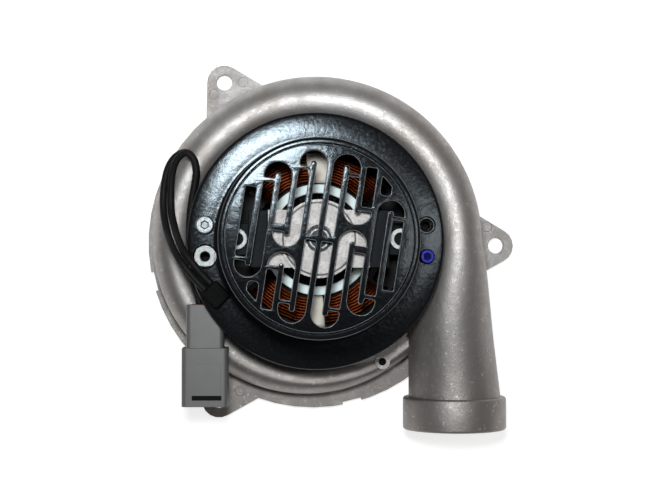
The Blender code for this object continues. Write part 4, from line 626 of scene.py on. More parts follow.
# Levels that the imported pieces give
PLATE_TOP = top_of("back_plate")
HOUSING_BASE = base_of("volute_housing")
FLANGE_BASE = base_of("motor_cover")
FLANGE_TOP = FLANGE_BASE + 3.5 * MM
CAP_TOP = top_of("motor_cover")
GRILLE_BASE = base_of("vent_grille")

# The deck over the chamber, in which the wheel turns
DECK_TOP = 21.0 * MM
DECK_RADIUS = 61.2 * MM
CHAMBER_TOP = 17.8 * MM
CHAMBER_RADIUS = 60.5 * MM
SHAFT_HOLE = 6.6 * MM

# The posts that carry the cover, and the small tapped boss beside the horn
POST_TOP = 46.7 * MM
POST_RADIUS = 4.6 * MM
POST_NECK = 4.3 * MM
POST_BORE = 2.2 * MM
POST_BORE_DEPTH = 14 * MM
POST_THREAD = 2.15 * MM
POST_THREAD_DEPTH = 10 * MM
POST_FOOT = DECK_TOP - MM
POST_PLACES = [(x * 46.7 * MM, y * 6.6 * MM) for x, y in ((-1, -1), (-1, 1), (1, -1), (1, 1))]
OPEN_POST, BRIGHT_SCREW, BLUE_SCREW, COUNTERBORE = POST_PLACES
OPEN_POST_TOP = FLANGE_TOP - 1.2 * MM
BOSS = polar(60.4 * MM, math.radians(-60.4))
BOSS_RADIUS = 3.3 * MM
BOSS_RISE = 2.2 * MM
BOSS_BORE = 1.7 * MM
BOSS_BORE_DEPTH = 1.8 * MM
BOSS_THREAD = 1.65 * MM
# How far the posts' threads start below the upper faces, and the size of every thread's ridges
THREAD_START = 0.2 * MM
THREAD_DEPTH = 0.3 * MM
THREAD_RISE = 0.35 * MM
# Reach of the open post's pale face, and how square it is: 2 would be round
POST_FACE_REACH = 4.1 * MM
POST_FACE_POWER = 3.4
POST_FACE_STEPS = 48
# The face's underside and upper side
POST_FACE_LEVELS = (FLANGE_TOP - 1.15 * MM, FLANGE_TOP - 0.5 * MM)

# The scroll, from its tongue round to the horn
SCROLL_START = math.radians(-62)
SCROLL_SWEEP = math.radians(298)
SCROLL_STEPS = 110
TONGUE = [SCROLL_START + math.radians(a) for a in range(-6, 23, 2)]
TONGUE_INSET = 0.1 * MM
CASTING_SECTION = [math.radians(a) for a in range(-45, 315, 9)]
# The crown: its height over the deck at the tongue, how far past the section's middle it may stand,
# and the least height of the walls beside it
CROWN_START = 0.4 * MM
CROWN_LEAN = 4 * MM
CROWN_WALL = 2 * MM
HORN_STEPS = 26
HORN_FLARE = 41 * MM
HORN_ROUNDING = 48 * MM
# How fast the horn's outer side and its floor reach the collar
HORN_SIDE_POWER = 0.85
HORN_FLOOR_PACE = 3

# Round marks on the ears, in millimetres from the motor axis
EAR_PADS = [(x * MM, y * MM) for x, y in ((-31.8, 72.4), (-44.8, 67.0), (78.5, 7.2), (-33.0, -66.6))]
# Their section: how far in from the edge and how far above the plate, in millimetres
PAD_SECTION = ((0.0, -0.5), (0.0, 0.05), (0.2, 0.14), (0.6, 0.08))


def scroll_radius(c, t):
    """Outer radius at share t of the scroll."""
    return c.start_radius + c.growth * math.sin(math.pi / 2 * min(1.0, t / c.growth_share))


def hump_point(a, inner, crown_at, outer, base, crown, rounding):
    """A point on the scroll's section: flat floor, upright walls and a rounded crown."""
    quarter = math.pi / 4
    shoulder = crown - rounding
    if a < 0:
        return outer, mix(base, shoulder, (a + quarter) / quarter)
    if a <= math.pi:
        side = outer - crown_at if a < math.pi / 2 else crown_at - inner
        return crown_at + side * math.cos(a), shoulder + rounding * math.sin(a)
    if a <= math.pi + quarter:
        return inner, mix(shoulder, base, (a - math.pi) / quarter)
    return mix(inner, outer, (a - math.pi - quarter) / (math.pi / 2)), base


def scroll_section(c, t, inset, base):
    """Inner, crown and outer radius at share t of the scroll, then the crown's height and rounding."""
    inner, outer = c.inner_radius + inset, scroll_radius(c, t) - inset
    crown = DECK_TOP + CROWN_START + c.crown_rise * t - inset
    rounding = min(c.crown_round - inset * 0.6, crown - base - CROWN_WALL)
    return inner, min(c.crown_radius, (inner + outer) / 2 + CROWN_LEAN), outer, crown, rounding


def scroll_ring(c, t, angle, inset, base):
    """The scroll's section at share t, stood up at an angle about the motor axis."""
    inner, crown_at, outer, crown, rounding = scroll_section(c, t, inset, base)
    section = [hump_point(a, inner, crown_at, outer, base, crown, rounding) for a in CASTING_SECTION]
    return [Vector((*polar(r, angle), z)) for r, z in section]


def horn_ring(c, along, inset, base, end_radius):
    """The horn's section some way down it, from the scroll's own form to a round one."""
    inner, _, outer, crown, rounding = scroll_section(c, 1.0, inset, base)
    share = along / c.horn_length
    axis_z = HOUSING_BASE + c.horn_radius
    left = mix(inner, c.horn_offset - end_radius, ease(along / HORN_FLARE))
    right = mix(outer, c.horn_offset + end_radius, share**HORN_SIDE_POWER)
    low = mix(base, axis_z - end_radius, ease(HORN_FLOOR_PACE * share))
    high = mix(crown, axis_z + end_radius, ease(share))
    roundness = ease(along / HORN_ROUNDING)
    middle, half = (left + right) / 2, (right - left) / 2
    centre, tall = (low + high) / 2, (high - low) / 2
    ring = []
    for a in CASTING_SECTION:
        r, z = hump_point(a, left, middle, right, low, high, rounding)
        x = mix(r, middle + half * math.cos(a), roundness)
        ring.append(Vector((x, -along, mix(z, centre + tall * math.sin(a), roundness))))
    return ring


def passage(c, inset, base, end_radius, end):
    """Sections along the scroll and out of the horn, drawn in by inset."""
    rings = []
    for i in range(SCROLL_STEPS + 1):
        t = i / SCROLL_STEPS
        rings.append(scroll_ring(c, t, SCROLL_START - SCROLL_SWEEP * t, inset, base))
    for i in range(1, HORN_STEPS + 1):
        rings.append(horn_ring(c, c.horn_length * i / HORN_STEPS, inset, base, end_radius))
    rings.append([Vector((p.x, -end, p.z)) for p in rings[-1]])
    return rings


def along_outlet(bm, c, profile):
    """A solid turned about the outlet's axis from (radius, distance down the horn)."""
    turn(bm, profile, closed=False)
    bmesh.ops.transform(bm, matrix=Matrix.Rotation(math.pi / 2, 4, "X"), verts=bm.verts)
    place = (c.horn_offset, 0, HOUSING_BASE + c.horn_radius)
    bmesh.ops.translate(bm, verts=bm.verts, vec=place)


def cut_thread(bm, place, radius, base, top):
    """The ridged wall and floor of a tapped hole, as a cup that fits the drilled one."""
    depth, rise = THREAD_DEPTH, THREAD_RISE
    inner, floor = radius - depth - 0.1 * MM, base + MM
    turns = int((top - floor) / (2 * rise))
    profile = [(0, base), (radius, base), (radius, top)]
    for i in range(turns):
        profile += [(inner, top - 2 * i * rise), (inner + depth, top - (2 * i + 1) * rise)]
    turn(bm, [*profile, (inner, floor), (0, floor)], place, segments=32, closed=False)


class BLOWER_OT_casting(bpy.types.Operator):
    """Cast the scroll, horn and collar, with the posts that carry the cover"""

    bl_idname = "blower.casting"
    bl_label = "Casting"

    def execute(self, context):
        c = context.scene.blower_casting
        scroll = passage(c, 0, HOUSING_BASE, c.horn_radius, c.horn_length + c.collar_length / 2)
        casting = new_piece("volute_casting", shape(loft, scroll), FINISHES["casting"])
        join(casting, shape(disc, DECK_RADIUS, CHAMBER_TOP - MM, DECK_TOP, segments=128), "UNION")
        tongue = [scroll_ring(c, 0.0, angle, TONGUE_INSET, HOUSING_BASE) for angle in TONGUE]
        join(casting, shape(loft, tongue), "UNION")
        join(casting, self.collar(c), "UNION")
        mouth = c.horn_length + c.collar_length + MM
        hollow = passage(c, c.wall, HOUSING_BASE - MM, c.bore_radius, mouth)
        join(casting, shape(loft, hollow), "DIFFERENCE")
        chamber = shape(disc, CHAMBER_RADIUS, HOUSING_BASE - MM, CHAMBER_TOP, segments=96)
        join(casting, chamber, "DIFFERENCE")
        join(casting, self.posts(), "UNION")
        join(casting, self.holes(), "DIFFERENCE")
        shade(casting, FINISHES["casting"], 32)
        settle(casting, "volute_housing")
        # The threads are near-black as painted shade in the holes.
        settle(new_piece("tapped_threads", self.threads(), FINISHES["thread"], 20))
        self.open_post_face()
        self.plate(c)
        return {"FINISHED"}

    def collar(self, c):
        """The collar round the horn's end, with rounded edges."""
        r, e = c.collar_radius, c.collar_edge
        start, end = c.horn_length, c.horn_length + c.collar_length
        first = [(r - e + x, start + e - y) for x, y in arc((0, 0), e, math.pi / 2, 0, 5)]
        last = [(r - e + x, end - e + y) for x, y in arc((0, 0), e, 0, math.pi / 2, 5)]
        return shape(along_outlet, c, [(0, start), *first, *last, (0, end)])

    def posts(self):
        """The three plain posts, the open one with its neck, and the boss."""
        bm = bmesh.new()
        for place in POST_PLACES[1:]:
            disc(bm, POST_RADIUS, POST_FOOT, POST_TOP, place)
        body = [(POST_RADIUS, POST_FOOT), (POST_RADIUS, POST_TOP)]
        neck = [(POST_NECK, POST_TOP), (POST_NECK, OPEN_POST_TOP)]
        section = [(0, POST_FOOT), *body, *neck, (0, OPEN_POST_TOP)]
        turn(bm, section, OPEN_POST, segments=32, closed=False)
        disc(bm, BOSS_RADIUS, POST_FOOT, DECK_TOP + BOSS_RISE, BOSS)
        return bm

    def holes(self):
        """The bores of the posts and the boss, and the shaft's hole in the deck."""
        bm = bmesh.new()
        for place in POST_PLACES:
            disc(bm, POST_BORE, POST_TOP - POST_BORE_DEPTH, FLANGE_TOP + MM, place)
        disc(bm, BOSS_BORE, DECK_TOP - BOSS_BORE_DEPTH, DECK_TOP + 4 * MM, BOSS)
        disc(bm, SHAFT_HOLE, CHAMBER_TOP - MM, DECK_TOP + MM)
        return bm

    def threads(self):
        """The threads of the two open posts and the boss."""
        bm = bmesh.new()
        foot = POST_TOP - POST_THREAD_DEPTH
        cut_thread(bm, OPEN_POST, POST_THREAD, foot, OPEN_POST_TOP - THREAD_START)
        cut_thread(bm, COUNTERBORE, POST_THREAD, foot, POST_TOP - THREAD_START)
        cut_thread(bm, BOSS, BOSS_THREAD, DECK_TOP - 1.7 * MM, DECK_TOP + 2 * MM)
        return bm

    def open_post_face(self):
        """The open post's pale face: a square with very round corners, and the post's bore."""
        outline = []
        for i in range(POST_FACE_STEPS):
            across, up = polar(1, math.tau * i / POST_FACE_STEPS)
            bulge = (abs(across) ** POST_FACE_POWER + abs(up) ** POST_FACE_POWER) ** (1 / POST_FACE_POWER)
            reach = POST_FACE_REACH / bulge
            outline.append((OPEN_POST[0] + reach * across, OPEN_POST[1] + reach * up))
        piece = new_piece("open_post_face", shape(prism, outline, *POST_FACE_LEVELS), FINISHES["boss"])
        bore = shape(disc, POST_BORE, FLANGE_TOP - 3 * MM, FLANGE_TOP + MM, OPEN_POST)
        join(piece, bore, "DIFFERENCE")
        round_edges(piece, 0.2 * MM)
        settle(piece)

    def plate(self, c):
        """The mounting plate with the round marks on its ears."""
        plate = softened("back_plate", FINISHES["plate"], 0.5 * MM)
        plate.name = "mounting_plate"
        section = [(c.pad_radius - inward * MM, PLATE_TOP + rise * MM) for inward, rise in PAD_SECTION]
        profile = [(0, section[0][1]), *section, (0, section[-1][1])]
        pads = bmesh.new()
        for place in EAR_PADS:
            turn(pads, profile, place, segments=40, closed=False)
        join(plate, pads, "UNION")
        shade(plate, FINISHES["plate"], 50)
        keep_flat(plate)
        bake(plate)


FLANGE_CROWN = 0.11 * MM
# Radii of the cover's holes, and how far the counterbore's edges are broken
OPEN_POST_HOLE = 5.3 * MM
SCREW_HOLE = 2.4 * MM
COUNTERBORE_WIDE = 3.4 * MM
COUNTERBORE_NARROW = 2.2 * MM
COUNTERBORE_FLOOR = FLANGE_TOP - 1.2 * MM
COUNTERBORE_BROKEN = 0.35 * MM
# The ledge under the grille: how far it stands in from the lip, and its height
LEDGE_WIDTH = 1.1 * MM
LEDGE_HEIGHT = 1.8 * MM
# Broken edges of the flange's underside and of the lip, and the gap round the grille
RIM_BROKEN = 0.4 * MM
LIP_BROKEN = 0.5 * MM
GRILLE_GAP = 0.3 * MM


class BLOWER_OT_cover(bpy.types.Operator):
    """Turn the enamelled cover: flange, cap and the lip round the grille"""

    bl_idname = "blower.cover"
    bl_label = "Motor cover"

    def execute(self, context):
        section = self.section(context.scene.blower_cover)
        turned = shape(turn, section, segments=144)
        cover = new_piece("enamelled_cover", turned, FINISHES["enamel"], 30)
        join(cover, self.holes(), "DIFFERENCE")
        shade(cover, FINISHES["enamel"], 30)
        keep_flat(cover)
        bake(cover)
        settle(cover, "motor_cover")
        return {"FINISHED"}

    def section(self, s):
        """The cover's section: out under the flange, in over it, up the cap and down inside."""
        inner = s.cap_radius - s.cap_wall
        lip = s.cap_radius - s.lip_width
        ledge_top = GRILLE_BASE - GRILLE_GAP
        ledge_base = ledge_top - LEDGE_HEIGHT
        rim, e = s.flange_radius, s.flange_edge
        fillet_at = (s.cap_radius + s.cap_fillet, FLANGE_TOP + s.cap_fillet)
        dome = []
        for share in (i / 10 for i in range(1, 10)):
            rise = FLANGE_CROWN * 4 * share * (1 - share)
            dome.append((mix(rim - e, fillet_at[0], share), FLANGE_TOP + rise))
        return [
            (inner, FLANGE_BASE),
            (rim - RIM_BROKEN, FLANGE_BASE),
            (rim, FLANGE_BASE + RIM_BROKEN),
            *arc((rim - e, FLANGE_TOP - e), e, 0, math.pi / 2, 5),
            *dome,
            *arc(fillet_at, s.cap_fillet, -math.pi / 2, -math.pi, 8),
            *arc((s.cap_radius - s.cap_edge, CAP_TOP - s.cap_edge), s.cap_edge, 0, math.pi / 2, 7),
            (lip + LIP_BROKEN, CAP_TOP),
            (lip, CAP_TOP - LIP_BROKEN),
            (lip, ledge_top),
            (lip - LEDGE_WIDTH, ledge_top),
            (lip - LEDGE_WIDTH, ledge_base),
            (inner, ledge_base - LEDGE_WIDTH),
        ]

    def holes(self):
        """The open post's hole, two screw holes, and the counterbore with its broken edges."""
        bm = bmesh.new()
        base, top = FLANGE_BASE - MM, FLANGE_TOP + MM
        disc(bm, OPEN_POST_HOLE, base, top, OPEN_POST, segments=40)
        for place in (BRIGHT_SCREW, BLUE_SCREW):
            disc(bm, SCREW_HOLE, base, top, place, segments=24)
        floor, broken = COUNTERBORE_FLOOR, COUNTERBORE_BROKEN
        wide, narrow = COUNTERBORE_WIDE, COUNTERBORE_NARROW
        steps = [
            (0, base),
            (narrow, base),
            (narrow, floor - 2 * broken),
            (narrow + 2 * broken, floor),
            (wide, floor),
            (wide, FLANGE_TOP - broken),
            (wide + 2 * broken, FLANGE_TOP + broken),
            (wide + 2 * broken, top),
            (0, top),
        ]
        turn(bm, steps, COUNTERBORE, segments=40, closed=False)
        return bm


# Column, lower end and upper end in millimetres
STRAIGHT_SLOTS = ((-4.5, -11.4, 15.9), (2.5, 14.75, 30.2))
# Column, open end, centre of the turn, end of the hook, side hooked to, way of the turn
HOOKED_SLOTS = (
    (-3.5, 18.8, -13.5, -13.0, -1, -1),
    (-2.5, 3.4, 21.75, 20.4, -1, 1),
    (-1.5, 25.9, 0.35, 0.5, -1, -1),
    (-0.5, 1.0, 28.45, 27.2, -1, 1),
    (0.5, 1.0, 28.65, 27.0, 1, 1),
    (1.5, 25.6, 12.85, 13.0, 1, -1),
)
# Column and lower end of the slot that follows the rim
RIM_SLOT = (3.5, 20.3)
SLOT_CORNER = 0.7 * MM
RIM_SLOT_CORNER = 1.7 * MM
GRILLE_STEPS = 144
# How far up the faces of the rounded edges look that get pale metal as a painted highlight, from 0 for a wall
# to 1 for a top
EDGE_HIGHLIGHT_SLOPE = (0.35, 0.95)


def eased_corners(outline, radius):
    """The outline with its sharp corners cut by short curves."""
    points = [Vector(point) for point in outline]
    eased = []
    for before, corner, after in zip(points[-1:] + points[:-1], points, points[1:] + points[:1]):
        back, on = before - corner, after - corner
        if math.pi - back.angle(on) < math.radians(50):
            eased.append(corner)
            continue
        start = corner + back.normalized() * min(radius, back.length / 2)
        end = corner + on.normalized() * min(radius, on.length / 2)
        for share in (0.0, 0.25, 0.5, 0.75, 1.0):
            eased.append(start.lerp(corner, share).lerp(corner.lerp(end, share), share))
    return [tuple(point) for point in eased]


def slot_outlines(g):
    """Outlines of the slots in one half of the grille, with their columns upright."""
    half, outlines = g.width / 2, []
    for column, low, high in STRAIGHT_SLOTS:
        left, right = column * g.pitch - half, column * g.pitch + half
        outlines.append([(left, low * MM), (right, low * MM), (right, high * MM), (left, high * MM)])
    for column, open_end, turn_at, hook_end, side, way in HOOKED_SLOTS:
        u = column * g.pitch
        middle = (u + side * g.pitch / 2, turn_at * MM)
        start = math.pi if side > 0 else 0.0
        end = start - side * way * math.pi
        outer = arc(middle, (g.pitch + g.width) / 2, start, end, 20)
        inner = arc(middle, (g.pitch - g.width) / 2, end, start, 10)
        far = u + side * g.pitch
        hook = [(far + side * half, hook_end * MM), (far - side * half, hook_end * MM)]
        opening = [(u + side * half, open_end * MM), (u - side * half, open_end * MM)]
        outlines.append([opening[1], *outer, *hook, *inner, opening[0]])
    outlines = [eased_corners(outline, SLOT_CORNER) for outline in outlines]
    column, low = RIM_SLOT
    left, right = column * g.pitch - half, column * g.pitch + half
    rim = arc((0, 0), g.rim, math.acos(right / g.rim), math.acos(left / g.rim), 6)
    outlines.append(eased_corners([(left, low * MM), (right, low * MM), *rim], RIM_SLOT_CORNER))
    return outlines


class BLOWER_OT_grille(bpy.types.Operator):
    """Draw the gloss grille with its hooked slots as a flat outline with rounded edges"""

    bl_idname = "blower.grille"
    bl_label = "Vent grille"

    def execute(self, context):
        g, cover = context.scene.blower_grille, context.scene.blower_cover
        radius = cover.cap_radius - cover.lip_width - GRILLE_GAP
        steps = GRILLE_STEPS - 1
        outlines = [arc((0, 0), radius, 0, math.tau * steps / GRILLE_STEPS, steps)]
        for outline in slot_outlines(g):
            outlines += [turned_about(outline, half_turn - g.lean) for half_turn in (0.0, math.pi)]
        curve = bpy.data.curves.new("grille_outline", "CURVE")
        curve.dimensions = "2D"
        curve.fill_mode = "BOTH"
        curve.extrude = (CAP_TOP - GRILLE_BASE) / 2 - g.edge
        curve.bevel_depth = g.edge
        curve.bevel_resolution = 3
        curve.offset = -g.edge
        for outline in outlines:
            add_spline(curve, [(x, y, 0) for x, y in outline], True)
        drawn = bpy.data.objects.new("grille_outline", curve)
        context.scene.collection.objects.link(drawn)
        bm = bmesh.new()
        bm.from_mesh(drawn.to_mesh())
        bpy.data.objects.remove(drawn)
        bmesh.ops.remove_doubles(bm, verts=bm.verts, dist=WELD)
        bmesh.ops.translate(bm, verts=bm.verts, vec=(0, 0, (GRILLE_BASE + CAP_TOP) / 2))
        grille = new_piece("gloss_grille", bm, FINISHES["gloss"], 50)
        # The rounded edges get pale metal as painted highlight lines.
        refinish(grille, FINISHES["rim"], lambda face: EDGE_HIGHLIGHT_SLOPE[0] < face.normal.z < EDGE_HIGHLIGHT_SLOPE[1])
        keep_flat(grille)
        bake(grille)
        settle(grille, "vent_grille")
        return {"FINISHED"}


# Radius of the socket in the blue screw's head
COVER_SOCKET = 2.1 * MM


class BLOWER_OT_screws(bpy.types.Operator):
    """Finish the two cover screws and the screws in the plate"""

    bl_idname = "blower.screws"
    bl_label = "Screws"

    def execute(self, context):
        softened("cover_screw_bright", FINISHES["steel"], 0.3 * MM)
        blue = softened("cover_screw_blue", FINISHES["blue"], 0.3 * MM)
        darken_socket(blue, "cover_screw_blue", COVER_SOCKET, FINISHES["blue shade"])
        for i in range(1, 5):
            softened(f"housing_screw_{i}", FINISHES["steel"], 0.2 * MM)
        return {"FINISHED"}


# The pair's route over the scroll in millimetres, then half the step between the two wires there
LEAD_ROUTE = (
    (-45.3, -19.2, 53.0, 1.25, 1.25, 0.0),
    (-48.6, -15.9, 53.1, 1.25, 1.25, 0.0),
    (-53.0, -10.7, 53.1, 1.4, 1.1, 0.0),
    (-56.4, -6.2, 51.7, 1.4, 1.0, 0.1),
    (-59.2, -1.2, 47.4, 1.6, 0.7, 0.2),
    (-61.6, 4.8, 40.8, 1.7, 0.5, 0.4),
    (-63.4, 12.7, 36.4, 1.7, 0.1, 0.5),
    (-63.6, 21.3, 35.6, 1.6, -0.2, 0.8),
    (-62.4, 30.0, 36.4, 1.2, -0.5, 1.3),
    (-59.6, 35.6, 37.6, 0.6, -0.6, 1.7),
    (-55.4, 38.0, 38.5, 0.0, -0.3, 1.9),
    (-52.1, 35.2, 38.7, 0.0, 0.0, 2.0),
    (-51.0, 29.9, 38.4, 0.0, 0.0, 2.0),
    (-51.6, 24.4, 37.8, 0.0, 0.0, 2.0),
    (-53.2, 15.0, 37.0, 0.0, 0.0, 2.0),
    (-53.9, 4.0, 36.6, 0.0, 0.0, 2.0),
    (-53.6, -7.0, 36.6, 0.4, 0.0, 1.9),
    (-51.2, -16.5, 37.2, 1.4, 0.3, 1.4),
    (-48.0, -22.6, 37.5, 2.4, 0.4, 0.4),
    (-47.0, -26.6, 37.5, 2.6, 0.0, 0.0),
)
LEAD_POINTS = 120


def lead_places(sign):
    """The route of the wire on one side of the pair, in metres."""
    return [(Vector(row[:3]) + sign * Vector(row[3:])) * MM + AXIS for row in LEAD_ROUTE]


def smooth_run(points, count, fineness=24):
    """Evenly spaced points on a smooth curve through the given ones, and its length."""
    fine = []
    padded = [2 * points[0] - points[1], *points, 2 * points[-1] - points[-2]]
    for a, b, c, d in zip(padded, padded[1:], padded[2:], padded[3:]):
        for i in range(fineness):
            t = i / fineness
            pull, sway = 2 * a - 5 * b + 4 * c - d, 3 * b - a - 3 * c + d
            fine.append(0.5 * (2 * b + (c - a) * t + pull * t**2 + sway * t**3))
    fine.append(points[-1])
    along = [0.0]
    for a, b in zip(fine, fine[1:]):
        along.append(along[-1] + (b - a).length)
    run, j = [], 0
    for i in range(count):
        wanted = along[-1] * i / (count - 1)
        while j < len(fine) - 2 and along[j + 1] < wanted:
            j += 1
        run.append(fine[j].lerp(fine[j + 1], (wanted - along[j]) / (along[j + 1] - along[j])))
    return run, along[-1]


CONNECTOR_FINISHES = {
    "connector_wedge": "wedge",
    "connector_seal": "seal",
    "connector_pin_left": "steel",
    "connector_pin_right": "steel",
}
# Left, right, front and rear of the panel and of the slot before it, in millimetres from the motor axis
LATCH_PANEL = (-51.3, -40.2, -65.6, -52.1)
LATCH_SLOT = (-52.4, -39.9, -67.4, -65.4)
PANEL_RISE = 0.5 * MM
SLOT_DEPTH = 1.7 * MM
SLOT_ROUNDING = 0.25 * MM
SHELL_ROUNDING = 1.1 * MM
BOOT_ROUNDING = 1.9 * MM
# How far below the upper face the slot's shade starts and ends, and its reach past the slot
SLOT_SHADE = (0.3 * MM, 1.9 * MM)
SLOT_SHADE_REACH = 0.01 * MM


class BLOWER_OT_leads(bpy.types.Operator):
    """Lay the two wires from the boot round the scroll, with the connector on their end"""

    bl_idname = "blower.leads"
    bl_label = "Leads and connector"

    def execute(self, context):
        diameter = context.scene.blower_lead.diameter
        shell = self.shell()
        for node, finish in CONNECTOR_FINISHES.items():
            dress(node, FINISHES[finish])
        for name, sign in (("inner", 1), ("outer", -1)):
            points, run = smooth_run(lead_places(sign), LEAD_POINTS)
            curve = bpy.data.curves.new(f"lead_{name}", "CURVE")
            curve.dimensions = "3D"
            curve.bevel_depth = diameter / 2
            curve.bevel_resolution = 5
            curve.use_fill_caps = True
            add_spline(curve, points, False)
            curve.materials.append(FINISHES["jacket"])
            lead = bpy.data.objects.new(f"lead_{name}", curve)
            context.scene.collection.objects.link(lead)
            settle(lead, f"lead_wire_{name}")
        softened("lead_boot", FINISHES["rubber"], BOOT_ROUNDING, segments=5)
        return {"FINISHED"}

    def shell(self):
        """The connector's body with the panel and the latch slot on its upper face."""
        top = top_of("connector_body")
        shell = solid_copy("connector_body", FINISHES["connector"])
        round_edges(shell, SHELL_ROUNDING, segments=4, sharper_than=30)
        panel = shape(prism, rectangle(*LATCH_PANEL), top - MM, top + PANEL_RISE)
        join(shell, panel, "UNION")
        slot = shape(prism, rectangle(*LATCH_SLOT), top - SLOT_DEPTH, top + MM)
        join(shell, slot, "DIFFERENCE")
        round_edges(shell, SLOT_ROUNDING, sharper_than=60)
        left, right, near, far = (side * MM for side in LATCH_SLOT)
        reach = SLOT_SHADE_REACH

        def in_slot(face):
            x, y, z = face.center - AXIS
            over = left - reach < x < right + reach and near - reach < y < far + reach
            return over and SLOT_SHADE[0] < top - z < SLOT_SHADE[1]

        # The slot's walls take the near-black finish as painted shade.
        refinish(shell, FINISHES["thread"], in_slot)
        settle(shell, "connector_body")
        return shell


# Inner radius, outer radius and depth of the bridge's hub, and how far it stands proud
HUB_INNER = 9 * MM
HUB_OUTER = 15.4 * MM
HUB_DEPTH = 4 * MM
HUB_PROUD = 0.02 * MM
# Radius and depth of the sockets in the through bolts' heads
BOLT_SOCKET = (2.6 * MM, 2.4 * MM)
FORMER_FLARE = 0.9 * MM
# Where each strap faces and half the angle that it covers, in degrees
STRAPS = {"coil_strap_upper": (90, 8.0), "coil_strap_lower": (-92.5, 7.4)}
STRAP_THICKNESS = 0.8 * MM
MOTOR_EDGE = 0.3 * MM
RINGS = ("outer_ring", "inner_ring", "ball_cage")
BEARINGS = [f"{end}_bearing_{ring}" for end in ("front", "rear") for ring in RINGS]
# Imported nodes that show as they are, by their finish
PLAIN_FINISHES = {
    "casting": ("front_bracket",),
    "lamination": ("stator_core", "armature_core"),
    "varnish": ("commutator",),
    "phenolic": ("cooling_fan",),
    "shaft": ("shaft", "shaft_circlip"),
    "wheel": ("impeller", "impeller_shroud"),
    "steel": ("impeller_nut", "impeller_washer", "impeller_spacer", *BEARINGS),
    "carbon": ("carbon_brush_left", "carbon_brush_right"),
}


class BLOWER_OT_motor(bpy.types.Operator):
    """Finish the motor's pieces behind the grille"""

    bl_idname = "blower.motor"
    bl_label = "Motor"

    def execute(self, context):
        for side in ("left", "right"):
            softened(f"brush_holder_{side}", FINISHES["phenolic"], 0.35 * MM)
        self.bridge()
        for side in ("left", "right"):
            self.bolt(f"stator_bolt_{side}")
        self.former()
        for node, (facing, half_angle) in STRAPS.items():
            self.strap(node, math.radians(facing), math.radians(half_angle))
        for finish, nodes in PLAIN_FINISHES.items():
            for node in nodes:
                dress(node, FINISHES[finish])
        return {"FINISHED"}

    def bridge(self):
        """The pale bridge that carries the rear bearing, with a turned hub."""
        top = top_of("rear_bridge")
        foot = top - HUB_DEPTH
        bridge = solid_copy("rear_bridge", FINISHES["bridge"])
        hub = shape(turn, [(HUB_INNER, foot), (HUB_OUTER, foot), (HUB_OUTER, top), (HUB_INNER, top)])
        bmesh.ops.translate(hub, verts=hub.verts, vec=(0, 0, HUB_PROUD))
        join(bridge, hub, "UNION")
        round_edges(bridge, MOTOR_EDGE)
        settle(bridge, "rear_bridge")

    def bolt(self, node):
        """A through bolt with a round socket in its head."""
        low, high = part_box(node)
        radius, depth = BOLT_SOCKET
        middle = ((low + high) / 2 - AXIS).to_2d()
        piece = solid_copy(node, FINISHES["boss"])
        join(piece, shape(disc, radius, high.z - depth, high.z + MM, middle), "DIFFERENCE")
        round_edges(piece, MOTOR_EDGE)
        # The socket's walls and floor are painted near-black as shade.
        darken_socket(piece, node, radius + 0.02 * MM, FINISHES["thread"])
        settle(piece, node)

    def former(self):
        """The pale ring inside the coils, flared out toward them."""
        low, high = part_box("coil_former")
        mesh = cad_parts["coil_former"].data
        inner = min((v.co - AXIS).to_2d().length for v in mesh.vertices)
        outer = (high.x - low.x) / 2
        flared = outer + FORMER_FLARE
        wall = [(inner, low.z), (outer, low.z), (outer, high.z - 2 * MM)]
        flare = [(flared, high.z - MM), (flared, high.z), (inner, high.z)]
        piece = new_piece("coil_former_finished", shape(turn, wall + flare), FINISHES["former"])
        round_edges(piece, MOTOR_EDGE)
        settle(piece, "coil_former")

    def strap(self, node, facing, half_angle):
        """Tape folded over the middle of a coil's head, its edges in line with the axis."""
        low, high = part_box(node)
        inner, outer = sorted(abs(y - AXIS.y) for y in (low.y, high.y))
        base, top, t = low.z, high.z, STRAP_THICKNESS
        under = top - t
        arch = [(inner, base), (inner + t, base), (inner + t, under), (outer - t, under), (outer - t, base)]
        arch += [(outer, base), *arc((outer - 2 * t, top - 2 * t), 2 * t, 0, math.pi / 2, 6)]
        arch += arc((inner + 2 * t, top - 2 * t), 2 * t, math.pi / 2, math.pi, 6)
        turns = [facing + half_angle * i / 4 for i in range(-4, 5)]
        rings = [[Vector((*polar(radius, a), height)) for radius, height in arch] for a in turns]
        piece = new_piece(f"{node}_finished", shape(loft, rings), FINISHES["strap"])
        round_edges(piece, 0.2 * MM)
        settle(piece, node)


def tree_with(name, inputs):
    """An empty Geometry Nodes tree with a geometry in and out and named inputs."""
    tree = bpy.data.node_groups.new(name, "GeometryNodeTree")
    tree.interface.new_socket("Geometry", in_out="INPUT", socket_type="NodeSocketGeometry")
    for label, kind in inputs:
        tree.interface.new_socket(label, in_out="INPUT", socket_type=kind)
    tree.interface.new_socket("Geometry", in_out="OUTPUT", socket_type="NodeSocketGeometry")
    return tree


def add_node(tree, kind, settings=None, values=None):
    """A node with its settings made, and its sockets linked or set."""
    node = tree.nodes.new(kind)
    for name, setting in (settings or {}).items():
        setattr(node, name, setting)
    for socket, value in (values or {}).items():
        if isinstance(value, bpy.types.NodeSocket):
            tree.links.new(value, node.inputs[socket])
        else:
            node.inputs[socket].default_value = value
    return node


def swept_wire(tree, curve, start):
    """The curve as round wire of the tree's Wire Radius."""
    values = {"Resolution": 8, "Radius": start["Wire Radius"]}
    section = add_node(tree, "GeometryNodeCurvePrimitiveCircle", {"mode": "RADIUS"}, values)
    values = {"Curve": curve, "Profile Curve": section.outputs["Curve"], "Fill Caps": True}
    return add_node(tree, "GeometryNodeCurveToMesh", {}, values).outputs["Mesh"]


